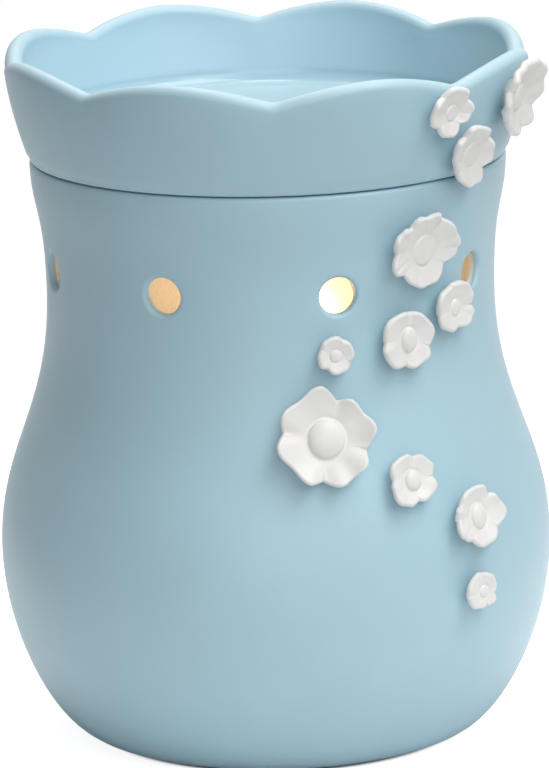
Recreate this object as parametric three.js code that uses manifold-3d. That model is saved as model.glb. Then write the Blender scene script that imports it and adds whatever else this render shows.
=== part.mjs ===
// Electric wax warmer: a glazed ceramic lamp body with a ring of light holes, a lift-off dish
// with a scalloped rim that holds the wax, and eleven white ceramic flowers set on both.
// Millimetres, +Z up, -Y to the front. The origin is on the table under the middle of the base.

import * as THREE from 'three';
import { mergeVertices } from 'three/addons/utils/BufferGeometryUtils.js';
import Module from 'manifold-3d';

const wasm = await Module();
wasm.setup();

// Clearances
const seatGap = 0.3; // between two pieces that touch
const standHeight = 1; // how far the rubber pads hold the foot ring off the table
const cutterMargin = 4; // how far a cutter runs past the wall that it cuts

// Lamp body. Heights are above the foot ring; the outline is three curves, from the foot to the
// belly, to the waist and to the mouth, and each pull is how far a curve keeps its direction.
const bodyWall = 3.2;
const footRadius = 42.3;
const footPull = 9.8;
const bellyRadius = 64;
const bellyHeight = 44.2;
const bellyPullDown = 21;
const bellyPullUp = 23.6;
const waistRadius = 51.8;
const waistHeight = 103.9;
const waistPullDown = 28.4;
const waistPullUp = 20.5;
const mouthRadius = 54.9;
const mouthHeight = 135.2;
const mouthPull = 11.2;
const mouthRounding = 0.8;
const footRingWidth = 4.6;
const footRingTaper = 1; // how much wider the foot ring is at its root
const footRecess = 5; // from the foot ring up to the underside of the floor
const floorThickness = 4;
const floorOpening = 25; // radius of the opening that the lamp's fittings clamp through

// Light holes
const lightHoles = 8;
const lightHoleRadius = 4.25;
const lightHoleHeight = 111.5;
const lightHoleTurn = 17; // degrees from the front towards +X
const lightHoleSoftening = 0.9; // how far the glaze rounds the outer edge

// Dish
const dishSeatOverhang = 0.1; // how far the dish stands out beyond the mouth that it sits on
const dishSeatRounding = 0.9;
const dishDepth = 15.3; // from the floor of the dish up to the lowest point of the rim
const dishFloorHeight = 6.5; // floor of the dish above its seat
const dishFloorThickness = 3.4;
const dishWall = 4.2; // at the rim
const dishWallThickening = 2.2; // more at the seat
const dishFlare = 4.8;
const dishFlarePower = 1.6; // above 1 the wall leans out most at the bottom
const dishFillet = 3.6;
const rimLobes = 8;
const rimLobeTurn = 1.6; // degrees from the front to the first valley
const rimLobeRise = 3.9;
const rimLobeLean = 1.3; // how far a lobe leans out beyond the valleys
const rimLobeFullness = 1.8; // 2 is a parabola, lower is more pointed at the top
const spigotClearance = 0.8; // round the ring that drops into the mouth
const spigotDepth = 4;
const spigotWall = 3;

// Flowers: turn is in degrees from the front, height is that of the middle above the dish's seat or
// the foot ring, button the radius of the round middle and cup how far the edge of the petals stands
// above their foot. A petal is the notch before it, [degrees from the flower's right, reach], and
// the corners that its edge runs over, [degrees, reach, how far they are pinched up].
const dishFlowers = [
  {
    name: 'small',
    turn: 41.6,
    height: 17,
    button: 2.5,
    cup: 0.9,
    petals: [
      [[38, 5], [60, 6.3, 0.4], [104, 6.5, 0.2]],
      [[133, 5.8], [157, 6.8, 0.3], [192, 7.1, 0]],
      [[217, 5.4], [238, 6, 0], [270, 5.6, 0]],
      [[310, 3.7], [340, 5.1, 0], [8, 5.9, 0.2]],
    ],
  },
  {
    name: 'low',
    turn: 50.1,
    height: 6.3,
    button: 2.7,
    cup: 1,
    petals: [
      [[42, 6.1], [66, 7.1, 0.6], [115, 8.1, 0.3]],
      [[132, 6.8], [150, 8.8, 0.5], [173, 7.8, 0.2], [203, 6.6, 0]],
      [[222, 6.2], [246, 6.9, 0], [281, 8.3, 0], [302, 8.5, 0]],
      [[323, 6.8], [346, 8.1, 0.2], [14, 7.6, 0.4]],
    ],
  },
  {
    name: 'side',
    turn: 65.5,
    height: 16.7,
    button: 3,
    cup: 1.4,
    petals: [
      [[98, 8.4], [120, 9.6, 0.5], [144, 9.8, 0.6]],
      [[162, 8.6], [186, 9, 0.3], [206, 8.6, 0]],
      [[222, 7.6], [246, 8.8, 0], [276, 9.2, 0.2]],
      [[294, 8.6], [318, 9.8, 0.6]],
      [[340, 8.2], [6, 9.8, 0.8], [40, 10.4, 1.2], [72, 9.8, 0.8]],
    ],
  },
];
const bodyFlowers = [
  {
    name: 'top',
    turn: 38.6,
    height: 120.8,
    button: 3.4,
    cup: 1.2,
    petals: [
      [[65, 8.3], [78, 9.4, 0.9], [96, 8.5, 0.3], [112, 9.1, 0.2]],
      [[130, 7.9], [142, 9.3, 0.7], [156, 10.4, 0.9]],
      [[176, 8.7], [196, 10.1, 0.2], [205, 9.9, 0.3]],
      [[222, 7.8], [241, 8.3, 0], [267, 8.8, 0], [292, 8.6, 0]],
      [[329, 6.9], [353, 9, 0], [6, 9.6, 0.3], [35, 9, 0.4]],
    ],
  },
  {
    name: 'right',
    turn: 49.9,
    height: 105.3,
    button: 1.9,
    cup: 0.8,
    petals: [
      [[104, 5.8], [119, 6.2, 0.2], [151, 7.3, 0.4]],
      [[191, 5.9], [212, 6.5, 0], [251, 5.7, 0]],
      [[281, 4.9], [320, 6.3, 0.2], [343, 6.4, 0.2]],
      [[2, 5.7], [24, 6.4, 0.2], [51, 6.5, 0.4], [77, 6.3, 0.3]],
    ],
  },
  {
    name: 'middle',
    turn: 34.4,
    height: 100.2,
    button: 2.8,
    cup: 0.8,
    petals: [
      [[92, 6.3], [102, 6.7, 0.3], [147, 7.6, 0.2]],
      [[181, 6.6], [196, 7.7, 0.3], [230, 7.6, 0]],
      [[259, 6.2], [280, 6.9, 0], [320, 7.1, 0]],
      [[340, 6.1], [13, 7, 0.2], [64, 6.6, 0.4]],
    ],
  },
  {
    name: 'left',
    turn: 15.1,
    height: 98.5,
    button: 1.3,
    cup: 0.6,
    petals: [
      [[62, 4.1], [87, 4.5, 0], [128, 4.4, 0]],
      [[158, 3.9], [184, 4.3, 0], [212, 4.5, 0]],
      [[237, 3.7], [268, 4.5, 0], [300, 4.4, 0]],
      [[338, 3.9], [4, 4.4, 0], [34, 4.4, 0]],
    ],
  },
  {
    name: 'large',
    turn: 11.7,
    height: 79.8,
    button: 4.4,
    cup: 1.7,
    fold: 0.9,
    straightness: 0.9,
    petals: [
      [[71, 9], [96, 11.8, 0.9], [150, 11.7, 0.8]],
      [[170, 10.2], [190, 12.1, 1], [242, 11.5, 0.8]],
      [[260, 9.8], [282, 11.4, 0.8], [319, 10.9, 1]],
      [[342, 9.4], [9, 11.4, 0.8], [51, 10.4, 0.7]],
    ],
  },
  {
    name: 'low',
    turn: 30.2,
    height: 68.9,
    button: 2.3,
    cup: 0.9,
    petals: [
      [[81, 5.5], [100, 6.1, 0.3], [147, 6.5, 0.2]],
      [[173, 5.3], [193, 6.2, 0.2], [224, 7.1, 0.3], [248, 6.3, 0]],
      [[276, 5], [293, 5.6, 0], [337, 6, 0.2]],
      [[5, 5.3], [30, 6.3, 0.2], [60, 6.2, 0.2]],
    ],
  },
  {
    name: 'belly',
    turn: 44.9,
    height: 58.9,
    button: 2.9,
    cup: 1.1,
    petals: [
      [[50, 6], [76, 6.9, 0.7], [129, 6.9, 0.3]],
      [[150, 6.3], [165, 7.8, 0.5]],
      [[182, 7.2], [205, 8.3, 0.3], [221, 7.6, 0.1]],
      [[236, 6.6], [261, 7.4, 0], [296, 7.1, 0]],
      [[325, 6.3], [358, 8.1, 0.4], [33, 6.9, 0.3]],
    ],
  },
  {
    name: 'last',
    turn: 44.7,
    height: 42.3,
    button: 1.3,
    cup: 0.6,
    petals: [
      [[93, 4.4], [123, 5.3, 0], [162, 5.7, 0]],
      [[188, 5.4], [220, 5.1, 0], [253, 4.1, 0]],
      [[282, 3.8], [319, 4.5, 0]],
      [[347, 3.5], [14, 3.9, 0], [58, 4.2, 0.2]],
    ],
  },
];
const petalThickness = 1.4;
const petalFold = 0.4; // how far a notch is folded in below the petals' cup
const petalRuffle = 0.3; // how far an edge sinks between two corners
const petalRise = 1.4; // above 1 the petals rise most towards their edge
const petalStraightness = 0.3; // 1 runs a straight edge from corner to corner
const notchSharpness = 0.5; // 0 rounds the edge into the notch as it is rounded at a corner
const petalColumn = 2; // length of a facet along the edge
const largeFlower = 9; // a flower that reaches further on average is cut finer
const flowerStandoff = 1.1; // from the pad to the underside of the petals
const buttonRise = 0.42; // height of the button, as a share of its radius
const buttonGroove = 0.35; // depth of the crease round the button
const padShare = 0.42; // radius of the pad, as a share of the average reach

// Lamp: a 40 mm globe on a 14 mm screw cap
const globeRadius = 20;
const globeHeight = 96; // middle of the globe
const lampLength = 70;
const glassThickness = 0.8;
const neckRadius = 6.2;
const capRadius = 6.95;
const capLength = 17;
const capWall = 0.4;
const capTaper = 1.8; // at its foot, where it grips the insulator
const capOverlap = 7; // of the cap over the glass neck
const insulatorLength = 3.5;
const lampContactRadius = 2.4;
const lampContactLength = 1.8;
const glassJoin = -48; // degrees below the globe's middle where the curve down to the neck begins
const glassNeckPull = 5; // how far the neck runs straight before it widens
const stemFlareHeight = 14; // of the glass stem, which flares to fill the neck at its foot
const stemRadius = 1.8;
const stemTopDrop = 14; // from the globe's middle down to the top of the stem
const filamentHeight = 2; // above the middle of the globe
const filamentSpan = 12;
const filamentRise = 3.5;
const filamentRadius = 0.4;
const leadRadius = 0.45;

// Lampholder
const holderRadius = 13.5;
const holderTaper = 4; // at its foot
const holderRimBevel = 1;
const holderRimHeight = 23; // rim above the tip of the lamp
const holderFloorThickness = 3;
const holderBossDepth = 5.3; // how far the tube enters the holder
const sleeveClearance = 0.35; // between the cap and the threaded sleeve
const sleeveWall = 0.5;
const sleeveLength = 14;
const wireHoleRadius = 2.2;
const tongueWidth = 3.6;
const tongueThickness = 0.5;
const tongueRise = 1.6;
const tongueFootLength = 3;
const tongueHeadLength = 4;

// Clamp through the floor
const tubeRadius = 5;
const tubeBore = 3.5;
const nutAcrossFlats = 14;
const nutHeight = 2.8;
const threadEnd = 0.2; // how far the tube stands out of the lower nut
const plateThickness = 1.2;
const basePlateRadius = 36;
const clampPlateRadius = 31;
const ventHoles = 6;
const ventRadius = 3;
const ventCircle = 17; // radius of the circle that the vents lie on
const padCount = 4;
const padRadius = 5;
const padTaper = 0.6;
const padCircle = 29; // radius of the circle that the pads stand on
const padTurn = 45; // degrees from the front to the first pad

// Gland where a flex would leave, in the back wall
const glandHeight = 30;
const glandBore = 3.8;
const glandNeck = 5.2;
const glandFlange = 6.6;
const glandFlangeThickness = 1.6;
const glandFlangeBevel = 0.6;

// Facets
const bodyFacets = 48;
const dishFacets = rimLobes * 7;
const lampFacets = 20;
const smallFacets = 14;
const padFacets = 12;
const ventFacets = 8;
const outerSteps = 6; // along each curve of the body's outline
const innerSteps = 4;

// Finishes
const finish = (color, roughness, metalness) => (
  new THREE.MeshStandardMaterial({ color, roughness, metalness }));
const blueGlaze = finish(0xa8c8d4, 0.35, 0);
const whiteGlaze = finish(0xf0efed, 0.35, 0);
const pearlGlass = finish(0xfff3dc, 0.3, 0);
const clearGlass = finish(0xdfe8ea, 0.1, 0);
const nickel = finish(0xb9b6ae, 0.3, 1);
const brassSheet = finish(0xc7a45c, 0.35, 1);
const tungsten = finish(0x6d6d70, 0.5, 1);
const solder = finish(0x9d9d9b, 0.45, 1);
const blackGlass = finish(0x1c1b1e, 0.25, 0);
const porcelain = finish(0xe9e6dc, 0.4, 0);
const zincSteel = finish(0xa9adb1, 0.4, 1);
const rubber = finish(0x2b2c2e, 0.85, 0);

const radians = THREE.MathUtils.degToRad;

// Triangles with shared corners and none without area, facing outwards.
function welded(geometry) {
  geometry.deleteAttribute('normal');
  geometry.deleteAttribute('uv');
  const merged = mergeVertices(geometry, 1e-4);
  const index = merged.index.array;
  const kept = [];
  for (let i = 0; i < index.length; i += 3) {
    const [a, b, c] = index.slice(i, i + 3);
    if (a !== b && b !== c && c !== a) kept.push(a, b, c);
  }
  merged.setIndex(signedVolume(merged, kept) < 0 ? kept.reverse() : kept);
  return merged;
}

// Six times the volume inside the triangles: negative when they face inwards.
function signedVolume(geometry, index) {
  const corner = (i) => new THREE.Vector3().fromBufferAttribute(geometry.attributes.position, index[i]);
  let volume = 0;
  for (let i = 0; i < index.length; i += 3) volume += corner(i).dot(corner(i + 1).cross(corner(i + 2)));
  return volume;
}

function toSolid(geometry) {
  const { attributes, index } = welded(geometry);
  return new wasm.Manifold(new wasm.Mesh({
    numProp: 3,
    vertProperties: new Float32Array(attributes.position.array),
    triVerts: new Uint32Array(index.array),
  }));
}

function fromSolid(solid) {
  const { vertProperties, triVerts } = solid.getMesh();
  const geometry = new THREE.BufferGeometry();
  geometry.setAttribute('position', new THREE.BufferAttribute(vertProperties, 3));
  geometry.setIndex(new THREE.BufferAttribute(triVerts, 1));
  return geometry;
}

// One geometry with others cut out of it.
function cut(geometry, cutters) {
  return fromSolid(cutters.reduce((solid, cutter) => solid.subtract(toSolid(cutter)), toSolid(geometry)));
}

// A solid turned about Z from [radius, height] pairs that start and end on the axis.
function turned(pairs, facets) {
  const profile = pairs.map(([radius, height]) => new THREE.Vector2(radius, height));
  return new THREE.LatheGeometry(profile, facets).rotateX(Math.PI / 2);
}

// A ring turned about Z from [radius, height] pairs round its section.
function turnedRing(pairs, facets) {
  return turned([...pairs, pairs[0]], facets);
}

// A surface of rings of points, closed at both ends by the first and the last point.
function ringed(first, rings, last) {
  const around = rings[0].length;
  const positions = [first, ...rings.flat(), last].flat();
  const at = (ring, step) => 1 + ring * around + (step % around);
  const index = [];
  for (let step = 0; step < around; step += 1) {
    index.push(0, at(0, step + 1), at(0, step));
    for (let ring = 1; ring < rings.length; ring += 1) {
      const [a, b] = [at(ring - 1, step), at(ring - 1, step + 1)];
      const [c, d] = [at(ring, step), at(ring, step + 1)];
      index.push(a, b, d, a, d, c);
    }
    index.push(at(rings.length - 1, step), at(rings.length - 1, step + 1), 1 + rings.length * around);
  }
  const geometry = new THREE.BufferGeometry();
  geometry.setAttribute('position', new THREE.Float32BufferAttribute(positions, 3));
  geometry.setIndex(index);
  return geometry;
}

// Points on a rounded edge about [radius, height], from one angle to another in degrees.
function arc([radius, height], rounding, from, to, steps) {
  return Array.from({ length: steps + 1 }, (_, i) => {
    const angle = radians(from + ((to - from) * i) / steps);
    return [radius + rounding * Math.cos(angle), height + rounding * Math.sin(angle)];
  });
}

// Direction across the table at an angle from the front, -Y, towards +X.
function heading(angle) {
  return new THREE.Vector3(Math.sin(angle), -Math.cos(angle), 0);
}

const group = new THREE.Group();

function add(name, geometry, material, parent = group) {
  const mesh = new THREE.Mesh(welded(geometry), material);
  mesh.name = name;
  parent.add(mesh);
  return mesh;
}

// Lamp body

const curve = (a, b, c, d) => new THREE.CubicBezierCurve(
  new THREE.Vector2(...a),
  new THREE.Vector2(...b),
  new THREE.Vector2(...c),
  new THREE.Vector2(...d),
);
const bodyCurves = [
  curve(
    [footRadius, 0],
    [footRadius + footPull, 0],
    [bellyRadius, bellyHeight - bellyPullDown],
    [bellyRadius, bellyHeight],
  ),
  curve(
    [bellyRadius, bellyHeight],
    [bellyRadius, bellyHeight + bellyPullUp],
    [waistRadius, waistHeight - waistPullDown],
    [waistRadius, waistHeight],
  ),
  curve(
    [waistRadius, waistHeight],
    [waistRadius, waistHeight + waistPullUp],
    [mouthRadius, mouthHeight - mouthPull],
    [mouthRadius, mouthHeight],
  ),
];

// The outline's point and outward direction at a height, found by halving the curve's length.
function bodyAt(height) {
  const outline = bodyCurves.find((each) => height <= each.v3.y) ?? bodyCurves.at(-1);
  let [low, high] = [0, 1];
  for (let i = 0; i < 40; i += 1) {
    const middle = (low + high) / 2;
    if (outline.getPoint(middle).y < height) low = middle;
    else high = middle;
  }
  const along = outline.getTangent(low);
  return { radius: outline.getPoint(low).x, out: along.y, up: -along.x };
}

const bodyFloor = footRecess + floorThickness;

function bodyShell() {
  const outline = bodyCurves.flatMap((each, i) => each.getPoints(outerSteps).slice(i ? 1 : 0));
  const outer = outline.slice(0, -1).map(({ x, y }) => [x, y]);
  const inner = bodyCurves.flatMap((each) => Array.from({ length: innerSteps }, (_, i) => {
    const share = (i + 0.5) / innerSteps;
    const [point, along] = [each.getPoint(share), each.getTangent(share)];
    return [point.x - bodyWall * along.y, point.y + bodyWall * along.x];
  })).filter(([, height]) => height > bodyFloor + seatGap).reverse();
  const floorEdge = bodyAt(bodyFloor).radius - bodyWall / bodyAt(bodyFloor).out;
  const mouthInner = mouthRadius - bodyWall;
  const footInner = footRadius - footRingWidth;
  return turnedRing([
    ...outer,
    ...arc([mouthRadius - mouthRounding, mouthHeight - mouthRounding], mouthRounding, 0, 90, 2),
    ...arc([mouthInner + mouthRounding, mouthHeight - mouthRounding], mouthRounding, 90, 180, 2),
    ...inner,
    [floorEdge, bodyFloor],
    [floorOpening, bodyFloor],
    [floorOpening, footRecess],
    [footInner - footRingTaper, footRecess],
    [footInner, 0],
  ], bodyFacets);
}

// A cutter along the heading of a light hole, flared where it meets the outside.
function lightHoleCutter(index) {
  const outside = bodyAt(lightHoleHeight).radius;
  const reach = bodyWall + cutterMargin;
  const softening = lightHoleSoftening;
  const cutter = turned([
    [0, outside - reach],
    [lightHoleRadius, outside - reach],
    ...arc([lightHoleRadius + softening, outside - softening], softening, 180, 105, 1),
    [lightHoleRadius + softening, outside + cutterMargin],
    [0, outside + cutterMargin],
  ], smallFacets);
  const angle = radians(lightHoleTurn + (index * 360) / lightHoles);
  cutter.rotateX(Math.PI / 2).rotateZ(angle);
  return cutter.translate(0, 0, lightHoleHeight);
}

// A frame on the outside of the body or the dish: origin on the surface, +Z straight out of it.
function surfaceFrame(radius, out, up, angle, height, gap) {
  const across = heading(angle);
  const outwards = across.clone().multiplyScalar(out).setZ(up).normalize();
  const sideways = heading(angle + Math.PI / 2);
  const upwards = outwards.clone().cross(sideways);
  const origin = across.multiplyScalar(radius).setZ(height).addScaledVector(outwards, gap);
  return new THREE.Matrix4().makeBasis(sideways, upwards, outwards).setPosition(origin);
}

const glandFrame = (gap) => {
  const { radius, out, up } = bodyAt(glandHeight);
  return surfaceFrame(radius, out, up, Math.PI, glandHeight, gap);
};
const glandCutter = turned([
  [0, -bodyWall - cutterMargin],
  [glandNeck + seatGap, -bodyWall - cutterMargin],
  [glandNeck + seatGap, cutterMargin],
  [0, cutterMargin],
], smallFacets).applyMatrix4(glandFrame(0));

const bodyCutters = Array.from({ length: lightHoles }, (_, i) => lightHoleCutter(i));
add('body_shell', cut(bodyShell(), [...bodyCutters, glandCutter]), blueGlaze);

// Dish, in heights above its seat on the mouth

const dish = new THREE.Group();
dish.position.z = mouthHeight + seatGap;
group.add(dish);

const rimValley = dishFloorHeight + dishDepth;
const dishSeatRadius = mouthRadius + dishSeatOverhang;

// 1 at the top of a lobe, 0 in the valleys: a full arch between sharp valleys.
function lobeShare(angle) {
  const turns = ((angle - radians(rimLobeTurn)) / (2 * Math.PI)) * rimLobes;
  const fromMiddle = Math.abs(2 * (turns - Math.floor(turns)) - 1);
  return 1 - fromMiddle ** rimLobeFullness;
}

function dishRadius(angle, height) {
  const share = THREE.MathUtils.clamp(height / rimValley, 0, 1);
  const lean = rimLobeLean * lobeShare(angle) * (height / rimValley) ** 2;
  return dishSeatRadius + dishFlare * (1 - (1 - share) ** dishFlarePower) + lean;
}

const dishInnerRadius = (angle, height) => (
  dishRadius(angle, height) - dishWall - dishWallThickening * Math.max(0, 1 - height / rimValley));

const spigotRadius = mouthRadius - bodyWall - spigotClearance;

function dishSection(angle) {
  const lip = dishWall / 2;
  const lipHeight = rimValley + rimLobeRise * lobeShare(angle) - lip;
  const lipRadius = dishRadius(angle, lipHeight) - lip;
  const underside = dishFloorHeight - dishFloorThickness;
  const filletTop = dishFloorHeight + dishFillet;
  const filletRadius = dishInnerRadius(angle, filletTop) - dishFillet;
  const wallSteps = [0.25, 0.5, 0.75];
  const between = (low, high, share) => low + (high - low) * share;
  const outerWall = wallSteps.map((share) => between(dishSeatRounding, lipHeight, share));
  const innerWall = [0.33, 0.67].map((share) => between(lipHeight, filletTop, share));
  return [
    [0, underside],
    [spigotRadius - spigotWall, underside],
    [spigotRadius - spigotWall, -spigotDepth],
    [spigotRadius, -spigotDepth],
    [spigotRadius, 0],
    ...arc([dishSeatRadius - dishSeatRounding, dishSeatRounding], dishSeatRounding, -90, 0, 2),
    ...outerWall.map((height) => [dishRadius(angle, height), height]),
    ...arc([lipRadius, lipHeight], lip, 0, 180, 4),
    ...innerWall.map((height) => [dishInnerRadius(angle, height), height]),
    ...arc([filletRadius, filletTop], dishFillet, 0, -90, 2),
    [0, dishFloorHeight],
  ];
}

// The dish turned about Z with a section that follows the lobes of its rim.
function dishBody() {
  const angles = Array.from({ length: dishFacets }, (_, i) => (i / dishFacets) * 2 * Math.PI
    + radians(rimLobeTurn));
  const sections = angles.map(dishSection);
  const place = (angle, [radius, height]) => heading(angle).multiplyScalar(radius).setZ(height).toArray();
  const rings = sections[0].slice(1, -1)
    .map((_, i) => angles.map((angle, step) => place(angle, sections[step][i + 1])));
  return ringed([0, 0, sections[0][0][1]], rings, [0, 0, sections[0].at(-1)[1]]);
}

add('dish', dishBody(), blueGlaze, dish);

// Flowers: each one fired piece of petals, a domed button and the pad that it was stuck down by

// The edge of the petals all round: the angle, reach and lift of a few columns to each stretch
// between a notch and a corner, or between two corners.
function petalEdge({ petals, fold = petalFold, straightness = petalStraightness }) {
  const level = (share) => (1 - Math.cos(Math.PI * share)) / 2;
  const sharp = (share) => Math.sin((Math.PI * share) / 2);
  const fromNotch = (share) => level(share) + (sharp(share) - level(share)) * notchSharpness;
  const toNotch = (share) => 1 - fromNotch(1 - share);
  return petals.flatMap((petal, i) => {
    const knots = [...petal, petals[(i + 1) % petals.length][0]];
    return petal.flatMap(([angle, reach, lift = -fold], step) => {
      const [nextAngle, nextReach, nextLift = -fold] = knots[step + 1];
      const width = radians((nextAngle - angle + 360) % 360);
      const columns = Math.max(2, Math.round((width * reach) / petalColumn));
      const last = step === petal.length - 1;
      const ease = [fromNotch, last ? toNotch : level][Math.min(step, 1)];
      return Array.from({ length: columns }, (_, column) => {
        const share = column / columns;
        const sag = step > 0 && !last ? Math.sin(Math.PI * share) ** 2 : 0;
        const cutOff = straightness * (1 - Math.cos(width / 2)) * sag;
        return {
          angle: radians(angle) + width * share,
          reach: (reach + (nextReach - reach) * ease(share)) * (1 - cutOff),
          lift: lift + (nextLift - lift) * level(share) - petalRuffle * sag,
        };
      });
    });
  });
}

function flower(setting) {
  const { button, cup } = setting;
  const edge = petalEdge(setting);
  const span = edge.reduce((sum, { reach }) => sum + reach, 0) / edge.length;
  const large = span > largeFlower;
  const face = flowerStandoff + petalThickness; // top of the petals beside the button
  const half = petalThickness / 2;
  const ring = (radiusAt, heightAt) => edge.map((point) => [
    radiusAt(point) * Math.cos(point.angle),
    radiusAt(point) * Math.sin(point.angle),
    heightAt(point),
  ]);
  const petalRing = (share, drop, narrower = 0) => ring(
    ({ reach }) => button + (reach - narrower - button) * share,
    ({ lift }) => face + (cup + lift) * share ** petalRise - drop,
  );
  const domeRing = (angle) => ring(
    () => button * Math.cos(radians(angle)),
    () => face + buttonRise * button * Math.sin(radians(angle)),
  );
  const flat = (radius, height) => ring(() => radius, () => height);
  return ringed([0, 0, face + buttonRise * button], [
    ...(large ? [60, 30, 0] : [45, 0]).map(domeRing),
    petalRing(0.12, buttonGroove),
    ...(large ? [0.4, 0.7] : [0.55]).map((share) => petalRing(share, 0)),
    petalRing(1, 0, 0.4 * half),
    ...(large ? [petalRing(1, half)] : []),
    petalRing(1, petalThickness, 0.6 * half),
    flat(padShare * span, flowerStandoff),
    flat(padShare * span, 0),
  ], [0, 0, 0]);
}

for (const setting of dishFlowers) {
  const { height } = setting;
  const angle = radians(setting.turn);
  const rise = dishRadius(angle, height + 0.5) - dishRadius(angle, height - 0.5);
  const place = surfaceFrame(dishRadius(angle, height), 1, -rise, angle, height, seatGap);
  add(`dish_flower_${setting.name}`, flower(setting), whiteGlaze, dish).applyMatrix4(place);
}
for (const setting of bodyFlowers) {
  const { radius, out, up } = bodyAt(setting.height);
  const place = surfaceFrame(radius, out, up, radians(setting.turn), setting.height, seatGap);
  add(`body_flower_${setting.name}`, flower(setting), whiteGlaze).applyMatrix4(place);
}

// Lamp, in heights above the tip of its contact

const lamp = new THREE.Group();
const lampTip = globeHeight + globeRadius - lampLength;
lamp.position.z = lampTip;
group.add(lamp);

const globeMiddle = lampLength - globeRadius;
const capFoot = lampContactLength + seatGap + insulatorLength + seatGap;
const capRim = capFoot + capLength;
const neckFoot = capRim - capOverlap;

// The glass from the neck to the top, grown by a thickness: a globe that runs down into the neck.
function glassOutline(grown) {
  const [shoulder] = arc([0, globeMiddle], globeRadius + grown, glassJoin, glassJoin, 1);
  const along = [-Math.sin(radians(glassJoin)), Math.cos(radians(glassJoin))];
  const neck = neckRadius + grown;
  const neckCurve = curve(
    [neck, capRim],
    [neck, capRim + glassNeckPull],
    shoulder.map((value, i) => value - glassNeckPull * along[i]),
    shoulder,
  );
  return [
    [neck, neckFoot],
    ...neckCurve.getPoints(3).slice(0, -1).map(({ x, y }) => [x, y]),
    ...arc([0, globeMiddle], globeRadius + grown, glassJoin, 90, 7),
  ];
}

add('lamp_globe', turned([
  ...glassOutline(0).reverse(),
  ...glassOutline(-glassThickness),
], lampFacets), pearlGlass, lamp);

const stemFlare = neckRadius - glassThickness - seatGap;
const stemTop = globeMiddle - stemTopDrop;
add('lamp_stem', turned([
  [0, neckFoot],
  [stemFlare, neckFoot],
  [0.75 * stemFlare, neckFoot + 0.6 * stemFlareHeight],
  [stemRadius, neckFoot + stemFlareHeight],
  [stemRadius, stemTop - 0.5 * stemRadius],
  [0.5 * stemRadius, stemTop],
  [0, stemTop],
], smallFacets), clearGlass, lamp);

const wireAlong = (path, steps, radius) => {
  const section = new THREE.Shape().absarc(0, 0, radius, 0, 2 * Math.PI);
  return new THREE.ExtrudeGeometry(section, { steps, extrudePath: path, curveSegments: 3 });
};
const filamentFoot = globeMiddle + filamentHeight;
const leadFoot = stemRadius + seatGap + leadRadius; // a lead stands beside the stem
for (const [side, name] of [[-1, 'lamp_lead_left'], [1, 'lamp_lead_right']]) {
  const lead = new THREE.CubicBezierCurve3(
    new THREE.Vector3(side * leadFoot, 0, stemTop - 2 * stemRadius),
    new THREE.Vector3(side * leadFoot, 0, (stemTop + filamentFoot) / 2),
    new THREE.Vector3((side * filamentSpan) / 2, 0, (stemTop + filamentFoot) / 2),
    new THREE.Vector3((side * filamentSpan) / 2, 0, filamentFoot),
  );
  add(name, wireAlong(lead, 8, leadRadius), nickel, lamp);
}
const filamentEnd = filamentFoot + seatGap + filamentRadius;
const filamentPath = new THREE.QuadraticBezierCurve3(
  new THREE.Vector3(-filamentSpan / 2 - leadRadius, 0, filamentEnd),
  new THREE.Vector3(0, 0, filamentEnd + 2 * filamentRise),
  new THREE.Vector3(filamentSpan / 2 + leadRadius, 0, filamentEnd),
);
add('lamp_filament', wireAlong(filamentPath, 10, filamentRadius), tungsten, lamp);

add('lamp_cap', turnedRing([
  [capRadius - capTaper, capFoot],
  [capRadius, capFoot + capTaper],
  [capRadius, capRim],
  [capRadius - capWall, capRim],
  [capRadius - capWall, capFoot + capTaper],
  [capRadius - capTaper - capWall, capFoot],
], lampFacets), nickel, lamp);

const insulatorFoot = lampContactLength + seatGap;
add('lamp_insulator', turned([
  [0, insulatorFoot],
  [lampContactRadius, insulatorFoot],
  [capRadius - capTaper, insulatorFoot + insulatorLength],
  [0, insulatorFoot + insulatorLength],
], smallFacets), blackGlass, lamp);

const contactHeadHeight = lampContactLength / 2; // a low dome under a short cylinder
add('lamp_contact', turned([
  [0, 0],
  [0.7 * lampContactRadius, 0.3 * contactHeadHeight],
  [lampContactRadius, contactHeadHeight],
  [lampContactRadius, lampContactLength],
  [0, lampContactLength],
], smallFacets), solder, lamp);

// Lampholder, clamped on a threaded tube through the floor

const sleeveInner = capRadius + sleeveClearance;
const sleeveOuter = sleeveInner + sleeveWall;
const holderBore = sleeveOuter + seatGap;
const tongueTop = lampTip - seatGap;
const tongueFoot = tongueTop - tongueRise;
const holderFloor = tongueFoot - seatGap;
const holderFoot = holderFloor - holderFloorThickness - holderBossDepth;
const holderRim = lampTip + holderRimHeight;
const tubeHole = tubeRadius + seatGap;

add('holder_body', turnedRing([
  [tubeHole, holderFoot],
  [holderRadius - holderTaper, holderFoot],
  [holderRadius, holderFoot + holderTaper],
  [holderRadius, holderRim - holderRimBevel],
  [holderRadius - holderRimBevel, holderRim],
  [holderBore + holderRimBevel, holderRim],
  [holderBore, holderRim - holderRimBevel],
  [holderBore, holderFloor],
  [wireHoleRadius, holderFloor],
  [wireHoleRadius, holderFloor - holderFloorThickness],
  [tubeHole, holderFloor - holderFloorThickness],
], lampFacets), porcelain);

const sleeveFoot = lampTip + capFoot;
add('holder_sleeve', turnedRing([
  [sleeveInner, sleeveFoot],
  [sleeveOuter, sleeveFoot],
  [sleeveOuter, sleeveFoot + sleeveLength],
  [sleeveInner, sleeveFoot + sleeveLength],
], lampFacets), brassSheet);

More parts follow.
